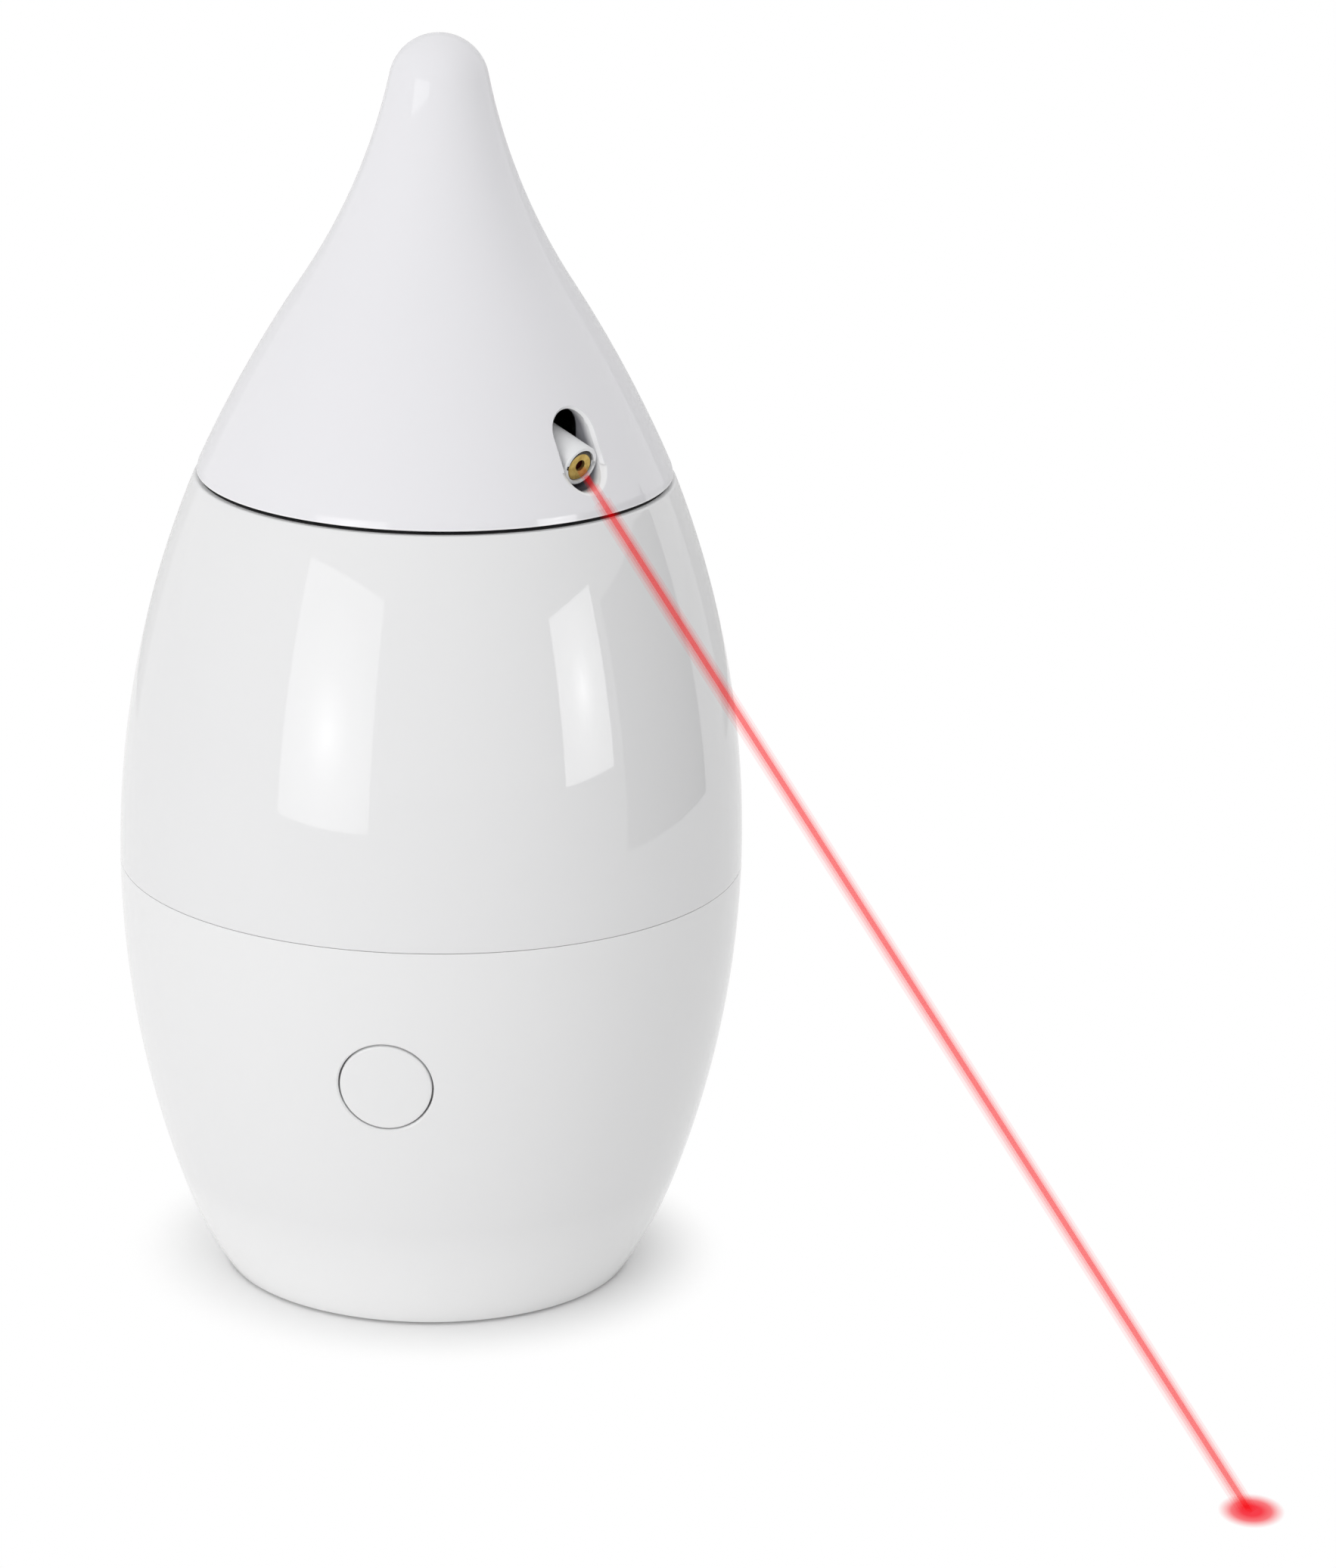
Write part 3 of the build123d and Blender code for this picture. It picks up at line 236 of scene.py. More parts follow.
def turnedBrass(name, front):
    # front is the matrix of the barrel; the lathe rings run round its own axis
    s = Shader(name)
    inverse = front.inverted()
    local = s.moved(s.place(), location=tuple(inverse.to_translation()), rotation=tuple(inverse.to_euler()))
    across = s.moved(local, scale=(0.0, 1.0, 1.0))
    radius = s.length(across)
    # distance from the painted shadow's centre
    lowRadius = s.length(s.moved(across, location=tuple(c * mm for c in brassPaintedShadow["shift"])))
    shadow = s.fadeIn(lowRadius / (brassPaintedShadow["span"] * mm), brassPaintedShadow["between"])
    bore = s.fadeOut(radius / (brassBore["span"] * mm), brassBore["between"])
    blotch = s.noise(s.place(), brass["blotch"], 5.0, 0.6)
    rings = s.noise(s.node("ShaderNodeCombineXYZ", None, {"X": radius}), brass["rings"], 2.0)
    colour = s.blend(s.fadeIn(blotch, brass["blotchBetween"]), brass["colour"], brass["shade"])
    colour = s.blend(shadow, colour, brassPaintedShadow["colour"])
    s.set("Base Color", s.blend(bore, colour, brassBore["colour"]))
    s.set("Metallic", (1.0 - shadow.atLeast(bore)) * brass["metallic"])
    s.set("Roughness", brass["roughness"] + (blotch - 0.5) * brass["swing"])
    s.bump(rings * brass["ringShare"] + blotch * (1 - brass["ringShare"]), brass["depth"])
    return s.holder


board = dict(mask=(0.012, 0.11, 0.035), track=(0.03, 0.20, 0.07), cells=420.0, trackEdge=(0.03, 0.06),
             grain=2500.0, grainShare=0.2, roughness=0.3, swing=0.1, depth=0.00002)


def circuitBoard():
    s = Shader("solderMask")
    place = s.place()
    cells = s.node("ShaderNodeTexVoronoi", dict(feature="DISTANCE_TO_EDGE", distance="EUCLIDEAN"),
                   {"Vector": place, "Scale": board["cells"]})
    track = s.fadeOut(cells, board["trackEdge"])
    grain = s.noise(place, board["grain"], 3.0)
    s.set("Base Color", s.blend(track, board["mask"], board["track"]))
    s.set("Roughness", board["roughness"] + (grain - 0.5) * board["swing"])
    s.bump(track + grain * board["grainShare"], board["depth"])
    return s.holder


jacket = dict(black=(0.02, 0.02, 0.022), copper=(0.62, 0.30, 0.13), steel=(0.55, 0.56, 0.58), metallic=0.85,
              bandFrom=(0.70, 0.705), endFrom=(0.965, 0.97), grain=1200.0, roughness=0.3, swing=0.15,
              depth=0.000003)


def cellJacket(node):
    # dark jacket with a coppery upper band and a bare end, by height on the cell
    low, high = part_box(node)
    s = Shader("cellJacket")
    share = (s.along(s.place(), "Z") - low.z) / (high.z - low.z)
    band = s.fadeIn(share, jacket["bandFrom"])
    bare = s.fadeIn(share, jacket["endFrom"])
    grain = s.noise(s.place(), jacket["grain"], 3.0)
    printed = s.blend(band, jacket["black"], jacket["copper"])
    s.set("Base Color", s.blend(bare, printed, jacket["steel"]))
    s.set("Metallic", band * jacket["metallic"])
    s.set("Roughness", jacket["roughness"] + grain * jacket["swing"])
    s.bump(grain, jacket["depth"])
    return s.holder


finishes["solderMask"] = circuitBoard()
finishes["cellJacket"] = cellJacket("battery_cells")

wearing = {
    "glossyWhite": ["head_shell", "upper_housing", "lower_housing", "power_button"],
    "satinWhite": ["laser_barrel_a", "laser_barrel_b"],
    "textureWhite": ["base_plate", "battery_door"],
    "blackMoulding": ["head_carrier", "deck_plate", "battery_holder", "brush_holder", "motor_end_cap",
                      "control_chip", "tact_switch"],
    "greyMoulding": ["gearbox_base", "switch_plunger"],
    "gearNylon": ["compound_gear_a", "compound_gear_b", "output_gear", "cam_ring"],
    "acetal": ["spindle", "spindle_bush"],
    "footRubber": ["rubber_feet"],
    "ferrite": ["motor_magnets"],
    "leadSleeve": ["motor_leads", "battery_leads"],
    "laserLens": ["laser_lens_a", "laser_lens_b"],
    "zincSteel": ["base_screws", "board_screws", "carrier_screws", "deck_screws", "door_screw",
                  "gearbox_screws", "holder_screws", "housing_screws", "motor_screws", "spindle_screw",
                  "gear_pins", "motor_shaft", "motor_can", "motor_armature", "battery_springs",
                  "laser_diode_a", "laser_diode_b"],
    "phosphorBronze": ["battery_plates", "contact_brushes", "door_contacts", "slip_ring_tracks",
                       "motor_pinion"],
    "canAluminium": ["capacitor"],
    "solderMask": ["main_board", "head_board", "slip_ring_board", "laser_board_a", "laser_board_b"],
    "cellJacket": ["battery_cells"],
}


def wear(piece, finish):
    piece.data.materials.clear()
    piece.data.materials.append(finish)


for finishName, nodeNames in wearing.items():
    for nodeName in nodeNames:
        wear(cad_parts[nodeName], finishes[finishName])

barrels = dict(pivotRadius=16.003, pivotHeight=150.2, depression=15.0, headings=dict(a=-40.0, b=140.0))


def barrelPlace(letter):
    turn = Matrix.Rotation(math.radians(barrels["headings"][letter]), 4, "Z")
    pivot = Matrix.Translation((barrels["pivotRadius"] * mm, 0, barrels["pivotHeight"] * mm))
    return turn @ pivot @ Matrix.Rotation(math.radians(barrels["depression"]), 4, "Y")


for letter in "ab":
    wear(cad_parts["laser_module_" + letter], turnedBrass("turnedBrass_" + letter, barrelPlace(letter)))
print("finishes ready:", len(bpy.data.materials))

# Outline of the body and the head, in the plane y = 0.
body = dict(bellyRadius=52.1, bellyHeight=73.1, sideArc=169.75, baseRadius=34.1, toeHeight=14.6, wall=2.2,
            foot=0.5, seam=71.3, rim=136.85, rimRound=0.5, seamRound=0.07, seamGap=0.05, lip=2.3,
            rimNear=0.35, cornerSteps=4, rimSteps=8, upperSteps=72, lowerSteps=(14, 24, 24), toeSteps=20)
head = dict(rimRadius=39.503, low=137.5, raised=0.05, height=72.5, shoulderArc=211.3, neckRadius=22.3,
            neckDrop=40.8, neckArc=99.5, taper=1.25, taperInset=0.28, taperBend=1.3, edgeRound=0.12,
            cornerSteps=4, taperSteps=6, shoulderSteps=(1, 24, 18), neckSteps=50, domeSteps=18)


def circleThrough(start, end, radius):
    middle, half = (start + end) / 2, (end - start) / 2
    reach = math.sqrt(radius ** 2 - half.length_squared)
    return middle + Vector((-half.y, half.x)).normalized() * reach


def arcRadius(centre, radius, z, side=1):
    return centre.x + side * math.sqrt(max(radius ** 2 - (z - centre.y) ** 2, 0.0))


def touchCentre(start, centre, point):
    # centre of the arc that leaves the circle about centre at start and runs through point
    unit = (centre - start).normalized()
    chord = start - point
    return start - unit * chord.length_squared / (2 * unit.dot(chord))


sideCentre = Vector((body["bellyRadius"] - body["sideArc"], body["bellyHeight"]))
toePoint = Vector((arcRadius(sideCentre, body["sideArc"], body["toeHeight"]), body["toeHeight"]))
toeCentre = touchCentre(toePoint, sideCentre, Vector((body["baseRadius"], 0)))
tipHeight = head["low"] + head["height"]
neckPoint = Vector((head["neckRadius"], tipHeight - head["neckDrop"]))
shoulderCentre = circleThrough(Vector((head["rimRadius"], head["low"])), neckPoint, head["shoulderArc"])
neckCentre = neckPoint + (neckPoint - shoulderCentre).normalized() * head["neckArc"]
domeRise = neckCentre.y - tipHeight
domeRadius = (domeRise ** 2 + neckCentre.x ** 2 - head["neckArc"] ** 2) / (2 * (head["neckArc"] - domeRise))
domeCentre = Vector((0, tipHeight - domeRadius))
domePoint = domeCentre + (neckCentre - domeCentre).normalized() * domeRadius


def bodyRadius(z, depth=0.0):
    if z < body["toeHeight"]:
        return arcRadius(toeCentre, (toePoint - toeCentre).length - depth, z)
    return arcRadius(sideCentre, body["sideArc"] - depth, z)


def headRadius(z, depth=0.0):
    if z < neckPoint.y:
        return arcRadius(shoulderCentre, head["shoulderArc"] - depth, z)
    return arcRadius(neckCentre, head["neckArc"] + depth, z, -1)



def lineTo(bm, last, x, z):
    step = bmesh.ops.extrude_vert_indiv(bm, verts=[last])["verts"][0]
    step.co = (x, 0, z)
    return step


def arcTo(bm, last, centre, end, steps):
    start = Vector((last.co.x, last.co.z)) - centre
    finish = Vector(end) - centre
    turn = math.atan2(start.x * finish.y - start.y * finish.x, start.dot(finish))
    swept = bmesh.ops.spin(bm, geom=[last], cent=(centre.x, 0, centre.y), axis=(0, -1, 0), angle=turn,
                           steps=steps, use_merge=False)["geom_last"]
    last = [v for v in swept if isinstance(v, bmesh.types.BMVert)][0]
    last.co = (end[0], 0, end[1])
    return last


mergeDistance = 0.0005     # closes seams and poles of the new pieces
coreMergeDistance = 0.002  # makes one mesh of a CAD node's loose triangles


def revolve(bm, steps=360, heading=0.0):
    # whole turn about the axis; columns of vertices start at the heading
    bmesh.ops.rotate(bm, verts=bm.verts, matrix=Matrix.Rotation(math.radians(heading), 3, "Z"))
    bmesh.ops.spin(bm, geom=bm.verts[:] + bm.edges[:], cent=(0, 0, 0), axis=(0, 0, 1), angle=2 * math.pi,
                   steps=steps, use_merge=True)
    bmesh.ops.remove_doubles(bm, verts=bm.verts, dist=mergeDistance)


def mouthFrame(form):
    turn, tilt = math.radians(form["heading"]), math.radians(form["tilt"])
    outward = Vector((math.cos(turn) * math.cos(tilt), math.sin(turn) * math.cos(tilt), -math.sin(tilt)))
    across = Vector((-math.sin(turn), math.cos(turn), 0))
    origin = Vector((math.cos(turn) * form["radius"], math.sin(turn) * form["radius"], form["height"]))
    return origin, outward, across, outward.cross(across)


surfaceTries = 14  # each try lands nearer the surface


def onSurface(form, radiusAt, across, up, depth):
    # point of the surface seen at (across, up) along the mouth's axis, then sunk by depth
    origin, outward, side, upward = mouthFrame(form)
    point = origin + side * across + upward * up
    for _ in range(surfaceTries):
        point += outward * (radiusAt(point.z) - point.xy.length)
    return point - outward * depth


def rimPoint(outline, across, up):
    # nearest point of an upright outline with round ends
    flat = outline["halfHeight"] - outline["halfWidth"]
    core = max(-flat, min(flat, up - outline["rise"])) + outline["rise"]
    reach = Vector((across, up - core)).normalized() * outline["halfWidth"]
    return Vector((reach.x, reach.y + core))


def pullIn(bm, ring, target):
    # extrudes the ring and moves each new vertex to target(vertex)
    made = bmesh.ops.extrude_edge_only(bm, edges=ring)["geom"]
    fresh = {v for v in made if isinstance(v, bmesh.types.BMVert)}
    for v in fresh:
        v.co = target(v)
    return [e for e in made if isinstance(e, bmesh.types.BMEdge) and set(e.verts) <= fresh]


lipSlope = 0.75  # slope of a lip where it leaves the surface
lipBend = 0.2    # how much steeper it gets on its way in
mouthRows = (0.75, 0.52, 0.32, 0.16, 0.06, 0.0)  # from the window's edge to the lip
mouthWallRows = (0.1, 0.5, 1.0)                  # from the lip to the wall's end


def openMouth(bm, form, radiusAt):
    # replaces a window of the grid by rings that close in on the mouth, a round lip and a wall going
    # inwards
    origin, outward, side, upward = mouthFrame(form)
    seed = bm.verts.layers.float_vector.new("seed")

    def inWindow(face):
        centre = face.calc_center_median()
        turn = math.degrees(math.atan2(centre.y, centre.x)) - form["heading"]
        turn = (turn + 180) % 360 - 180
        return abs(turn) < form["windowTurn"] and form["windowLow"] < centre.z < form["windowHigh"]

    window = [face for face in bm.faces if inWindow(face)]
    inside = set(window)
    ring = [e for e in {e for face in window for e in face.edges} if len(set(e.link_faces) & inside) == 1]
    for v in {v for e in ring for v in e.verts}:
        v[seed] = ((v.co - origin).dot(side), (v.co - origin).dot(upward), 0)
    bmesh.ops.delete(bm, geom=window, context="FACES")

    def onRow(share):
        def target(v):
            across, up = v[seed].x, v[seed].y
            edge = rimPoint(form["outer"], across, up)
            return onSurface(form, radiusAt, *edge.lerp(Vector((across, up)), share), 0.0)
        return target

    def onLip(share):
        def target(v):
            inner = rimPoint(form["inner"], v[seed].x, v[seed].y)
            outer = rimPoint(form["outer"], v[seed].x, v[seed].y)
            sunk = (outer - inner).length * lipSlope * (share + lipBend * share ** 3)
            return onSurface(form, radiusAt, *outer.lerp(inner, share), sunk)
        return target

    def onWall(share):
        def target(v):
            inner = rimPoint(form["inner"], v[seed].x, v[seed].y)
            reach = (v.co - origin).dot(outward)
            reach += (form["wallEnd"] - reach) * share
            return origin + side * inner.x + upward * inner.y + outward * reach
        return target

    for share in mouthRows:
        ring = pullIn(bm, ring, onRow(share))
    for step in range(1, form["lipSteps"] + 1):
        ring = pullIn(bm, ring, onLip(step / form["lipSteps"]))
    for share in mouthWallRows:
        ring = pullIn(bm, ring, onWall(share))
    bm.verts.layers.float_vector.remove(seed)


def faceOut(bm, direction):
    # normals outward: the face that lies furthest along direction(centre) must look that way
    bmesh.ops.recalc_face_normals(bm, faces=bm.faces)
    outermost = max(bm.faces, key=lambda face: face.calc_center_median().dot(direction(face)))
    if outermost.normal.dot(direction(outermost)) < 0:
        bmesh.ops.reverse_faces(bm, faces=bm.faces)


def awayFromAxis(face):
    centre = face.calc_center_median()
    return Vector((centre.x, centre.y, 0)).normalized()


def addInside(bm, node, near=0.25):
    # joins the CAD node's mesh to the skin, without those of its faces that the skin covers
    skin = BVHTree.FromBMesh(bm)
    core = bmesh.new()
    core.from_mesh(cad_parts[node].data)
    bmesh.ops.scale(core, verts=core.verts, vec=(1 / mm, 1 / mm, 1 / mm))
    bmesh.ops.remove_doubles(core, verts=core.verts, dist=coreMergeDistance)
    close = {v for v in core.verts if skin.find_nearest(v.co, near)[0] is not None}
    covered = [face for face in core.faces if set(face.verts) <= close]
    bmesh.ops.delete(core, geom=covered, context="FACES")
    for face in core.faces:
        face.material_index = 0
    loose = bpy.data.meshes.new(node + "_inside")
    core.to_mesh(loose)
    core.free()
    bm.from_mesh(loose)
    bpy.data.meshes.remove(loose)
    print(node, "keeps its inside, without the", len(covered), "faces that the skin covers")


def finishPiece(bm, name, rider, finish, sharp=35):
    bmesh.ops.scale(bm, verts=bm.verts, vec=(mm, mm, mm))
    for face in bm.faces:
        face.smooth = True
    for edge in bm.edges:
        if len(edge.link_faces) == 2 and edge.calc_face_angle(0) > math.radians(sharp):
            edge.smooth = False
    mesh = bpy.data.meshes.new(name)
    bm.to_mesh(mesh)
    bm.free()
    if "custom_normal" in mesh.attributes:
        mesh.attributes.remove(mesh.attributes["custom_normal"])
    mesh.materials.append(finish)
    piece = bpy.data.objects.new(name, mesh)
    bpy.context.scene.collection.objects.link(piece)
    if rider:
        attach(piece, rider)
    return piece


slotForm = dict(radius=0.0, height=147.5, tilt=0.0, inner=dict(halfWidth=3.85, halfHeight=6.3, rise=0.0),
                outer=dict(halfWidth=4.95, halfHeight=7.05, rise=0.35), lipSteps=7, windowTurn=10.0,
                windowLow=139.1, windowHigh=156.0, wallEnd=29.553)


# the third tone is a painted highlight for the slot's lip and the head's lower edge; the two greys are
# painted shade inside the slot and the shell, the darker one low down
headTones = dict(white=(0.825, 0.82, 0.846), shade=(0.815, 0.81, 0.836), paintedLight=(0.92, 0.92, 0.93),
                 paintedShadeLow=(0.09, 0.085, 0.10), paintedShadeHigh=(0.36, 0.36, 0.39), paintedShadeRise=(0.12, 0.24))
slotBand = dict(low=138.8, span=20.0, fade=(0.01, 0.95))      # heights at which lip and inside are toned
lipHighlightDepth = (0.02, 0.08)                                       # under the head's surface, in millimetres
insideShadeDepth = dict(span=4.0, between=(0.26, 0.55))
edgeHighlightRise = dict(span=2.0, between=(0.14, 0.18))               # above the head's lower edge


def polish(s, cloud):
    s.set("Roughness", gloss["roughness"] + (cloud - 0.5) * gloss["swing"])
    s.set("IOR", gloss["ior"])


def headPlastic():
    # white outside, with a painted highlight on the slot's lip and the lower edge, and painted shade inside
    # the shell at the slot's heights
    s = Shader("headWhite")
    place = s.place()
    radius = s.length(s.moved(place, scale=(1, 1, 0)))
    height = s.along(place, "Z")
    section = s.node("ShaderNodeCombineXYZ", None, {"X": radius - shoulderCentre.x * mm,
                                                    "Y": height - shoulderCentre.y * mm})
    depth = (head["shoulderArc"] * mm - s.length(section)) / mm
    rise = (height / mm - slotBand["low"]) / slotBand["span"]
    fadeStart, fadeEnd = slotBand["fade"]
    nearSlot = s.ramp(rise, [(0.0, 0.0), (fadeStart, 1.0), (fadeEnd, 1.0), (1.0, 0.0)])
    # painted highlight on the slot's lip, just under the surface
    lip = s.fadeIn(depth, lipHighlightDepth) * nearSlot
    # painted highlight along the head's lower edge
    edge = s.fadeOut((height / mm - head["low"]) / edgeHighlightRise["span"], edgeHighlightRise["between"])
    # painted shade inside the shell and on the slot's wall
    inside = s.fadeIn(depth / insideShadeDepth["span"], insideShadeDepth["between"]) * nearSlot
    cloud = s.noise(place, gloss["cloud"], 2.0)
    white = s.blend(cloud, headTones["white"], headTones["shade"])
    white = s.blend(lip.atLeast(edge), white, headTones["paintedLight"])
    # painted shade, darker towards the bottom of the slot
    deep = s.blend(s.fadeIn(rise, headTones["paintedShadeRise"]), headTones["paintedShadeLow"], headTones["paintedShadeHigh"])
    s.set("Base Color", s.blend(inside, white, deep))
    polish(s, cloud)
    return s.holder


def makeHead():
    bm = bmesh.new()
    low, corner = head["low"] + head["raised"], head["edgeRound"]
    foot = headRadius(low, head["taperInset"])
    last = bm.verts.new((headRadius(low, body["wall"]), 0, low))
    last = lineTo(bm, last, foot - corner, low)
    last = arcTo(bm, last, Vector((foot - corner, low + corner)), (foot, low + corner), head["cornerSteps"])
    for step in range(1, head["taperSteps"] + 1):
        share = step / head["taperSteps"]
        z = low + corner + (head["taper"] - corner) * share
        last = lineTo(bm, last, headRadius(z, head["taperInset"] * (1 - share) ** head["taperBend"]), z)
    for z, steps in zip((slotForm["windowLow"], slotForm["windowHigh"], neckPoint.y), head["shoulderSteps"]):
        last = arcTo(bm, last, shoulderCentre, (headRadius(z), z), steps)
    last = arcTo(bm, last, neckCentre, domePoint, head["neckSteps"])
    arcTo(bm, last, domeCentre, (0, tipHeight), head["domeSteps"])
    revolve(bm, heading=barrels["headings"]["a"])
    for heading in barrels["headings"].values():
        openMouth(bm, dict(slotForm, heading=heading), headRadius)
    faceOut(bm, awayFromAxis)
    addInside(bm, "head_shell")
    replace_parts(finishPiece(bm, "headShell", "head", headPlastic()), "head_shell")


makeHead()
print("head made")


def seamEdge(bm, seam, inset, rise):
    # starts an outline inside the wall at the seam and rounds the edge, upward or downward by rise
    edge = body["seamRound"]
    flat = bodyRadius(seam) - edge
    last = bm.verts.new((bodyRadius(seam) - inset, 0, seam))
    last = lineTo(bm, last, flat, seam)
    end = (bodyRadius(seam + rise), seam + rise)
    return arcTo(bm, last, Vector((flat, seam + rise)), end, body["cornerSteps"])


def makeUpperHousing():
    bm = bmesh.new()
    rim, corner = body["rim"], body["rimRound"]
    rounding = Vector((arcRadius(sideCentre, body["sideArc"] - corner, rim - corner), rim - corner))
    leaving = sideCentre + (rounding - sideCentre).normalized() * body["sideArc"]
    last = seamEdge(bm, body["seam"] + body["seamGap"], body["lip"], body["seamRound"])
    last = arcTo(bm, last, sideCentre, leaving, body["upperSteps"])
    last = arcTo(bm, last, rounding, (rounding.x, rim), body["rimSteps"])
    lineTo(bm, last, bodyRadius(rim, body["wall"]), rim)
    revolve(bm)
    faceOut(bm, awayFromAxis)
    addInside(bm, "upper_housing", body["rimNear"])
    piece = finishPiece(bm, "upperHousing", "body", finishes["glossyWhite"])
    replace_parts(piece, "upper_housing")


# dark ring on the rim under the head's edge: painted shadow in the seam's gap, no part of the toy
rimShadowRing = dict(inner=36.8, outer=38.6, thickness=0.12, lift=0.01, corner=0.05)


def makeRimFelt():
    bm = bmesh.new()
    low = body["rim"] + rimShadowRing["lift"]
    high = low + rimShadowRing["thickness"]
    inner, outer, corner = rimShadowRing["inner"], rimShadowRing["outer"], rimShadowRing["corner"]
    first = bm.verts.new((outer, 0, low))
    last = first
    for x, z in ((outer, high - corner), (outer - corner, high), (inner, high), (inner, low)):
        last = lineTo(bm, last, x, z)
    bm.edges.new((last, first))
    revolve(bm)
    bmesh.ops.recalc_face_normals(bm, faces=bm.faces)
    finishPiece(bm, "rimShadowRing", "body", finishes["shadowBlack"])


makeUpperHousing()
makeRimFelt()
print("upper housing made")

buttonForm = dict(heading=-90.0, height=47.5, inner=dict(halfWidth=7.8, halfHeight=7.8, rise=0.0),
                  outer=dict(halfWidth=8.08, halfHeight=8.08, rise=0.0), lipSteps=4, windowTurn=12.0,
                  windowLow=37.3, windowHigh=57.7, wallEnd=-3.1)
buttonForm["radius"] = bodyRadius(buttonForm["height"])
buttonForm["tilt"] = math.degrees(math.atan2(body["bellyHeight"] - buttonForm["height"],
                                             buttonForm["radius"] - sideCentre.x))
buttonCap = dict(radius=7.5, corner=0.3, cornerSteps=4, depth=3.5, segments=120,
                 rings=(6.6, 5.5, 4.3, 3.0, 1.8, 0.8))


lowerTones = dict(white=(0.848, 0.848, 0.851), shade=(0.840, 0.840, 0.844), paintedLight=(0.96, 0.96, 0.96),
                  paintedLightSpan=20.0, paintedLightBetween=(0.08, 1.0))


def lowerPlastic():
    # white, with painted light that makes it paler towards the foot
    s = Shader("lowerWhite")
    cloud = s.noise(s.place(), gloss["cloud"], 2.0)
    white = s.blend(cloud, lowerTones["white"], lowerTones["shade"])
    # painted light near the foot, against the shade that falls there
    nearFoot = s.fadeOut(s.along(s.place(), "Z") / mm / lowerTones["paintedLightSpan"], lowerTones["paintedLightBetween"])
    s.set("Base Color", s.blend(nearFoot, white, lowerTones["paintedLight"]))
    polish(s, cloud)
    return s.holder


finishes["lowerWhite"] = lowerPlastic()


def makeLowerHousing():
    bm = bmesh.new()
    foot = body["foot"]
    last = seamEdge(bm, body["seam"] - body["seamGap"], body["wall"], -body["seamRound"])
    for z, steps in zip((buttonForm["windowHigh"], buttonForm["windowLow"], body["toeHeight"]),
                        body["lowerSteps"]):
        last = arcTo(bm, last, sideCentre, (bodyRadius(z), z), steps)
    last = arcTo(bm, last, toeCentre, (bodyRadius(foot), foot), body["toeSteps"])
    lineTo(bm, last, bodyRadius(foot, body["wall"]), foot)
    revolve(bm)
    openMouth(bm, buttonForm, bodyRadius)
    faceOut(bm, awayFromAxis)
    addInside(bm, "lower_housing")
    piece = finishPiece(bm, "lowerHousing", "body", finishes["lowerWhite"])
    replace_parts(piece, "lower_housing")


def makeButton():
    bm = bmesh.new()
    origin, outward, side, upward = mouthFrame(buttonForm)
    spoke = bm.verts.layers.float_vector.new("spoke")
    bmesh.ops.create_circle(bm, cap_ends=False, segments=buttonCap["segments"], radius=1.0)
    for v in bm.verts:
        v[spoke] = v.co.normalized()
        reach = (side * v[spoke].x + upward * v[spoke].y) * buttonCap["radius"]
        v.co = origin + reach - outward * buttonCap["depth"]

    def onRing(radius, depth):
        return lambda v: onSurface(buttonForm, bodyRadius, v[spoke].x * radius, v[spoke].y * radius, depth)

    ring = bm.edges[:]
    corner = buttonCap["corner"]
    for step in range(buttonCap["cornerSteps"] + 1):
        turn = math.pi / 2 * step / buttonCap["cornerSteps"]
        reach = buttonCap["radius"] - corner * (1 - math.cos(turn))
        ring = pullIn(bm, ring, onRing(reach, corner * (1 - math.sin(turn))))
    for radius in (*buttonCap["rings"], 0.0):
        ring = pullIn(bm, ring, onRing(radius, 0.0))
    bm.verts.layers.float_vector.remove(spoke)
    bmesh.ops.remove_doubles(bm, verts=bm.verts, dist=mergeDistance)
    faceOut(bm, lambda face: outward)
    addInside(bm, "power_button")
    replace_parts(finishPiece(bm, "buttonCap", "button", finishes["lowerWhite"]), "power_button")


makeLowerHousing()
makeButton()
print("lower housing and button made")

# The beam and its dot are light, no part of the toy.

beam = dict(start=(26.61, -22.33, 145.18), end=(141.9, -87.8, 0.0), colour=(0.936, 0.0, 0.004), segments=48,
            drift=(-0.810, -0.250, -0.531))
# nested tubes: each starts gap from the lens and lies aside along the beam's drift
shells = [
    dict(radius=0.40, aside=0.13, gap=2.0, share=0.155, tint=0.788),
    dict(radius=0.72, aside=0.20, gap=0.6, share=0.058, tint=0.919),
    dict(radius=1.08, aside=0.24, gap=4.0, share=0.051, tint=0.929),
    dict(radius=1.50, aside=0.28, gap=7.0, share=0.033, tint=0.953),
]
spot = dict(place=(141.9, -87.8), size=(5.2, 6.4), lift=0.3, colour=(0.93, 0.05, 0.07), segments=64,
            fade=[(0.30, 1.0), (0.60, 0.85), (1.0, 0.0)])


def lightFinish(name, share, tint):
    # share is the glow of the shell, tint what it lets through of green and blue
    s = Shader(name)
    glow = s.node("ShaderNodeEmission", None, {"Color": beam["colour"], "Strength": 1.0})
    s.mixShaders(share, s.node("ShaderNodeBsdfTransparent", None, {"Color": (1.0, tint, tint)}), glow)
    return s.holder


def onlySeen(thing):
    thing.visible_diffuse = False
    thing.visible_glossy = False
    thing.visible_shadow = False
    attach(thing, "head")


def makeBeam():
    for number, shell in enumerate(shells):
        start, end = Vector(beam["start"]), Vector(beam["end"])
        start += (end - start).normalized() * shell["gap"]
        bm = bmesh.new()
        bmesh.ops.create_cone(bm, cap_ends=False, segments=beam["segments"], radius1=shell["radius"],
                              radius2=shell["radius"], depth=(end - start).length)
        bmesh.ops.rotate(bm, verts=bm.verts, matrix=(end - start).to_track_quat("Z", "Y").to_matrix())
        aside = Vector(beam["drift"]) * shell["aside"]
        bmesh.ops.translate(bm, verts=bm.verts, vec=(start + end) / 2 + aside)
        glow = lightFinish("beamLight_" + str(number), shell["share"], shell["tint"])
        onlySeen(finishPiece(bm, "beam_" + str(number), None, glow))


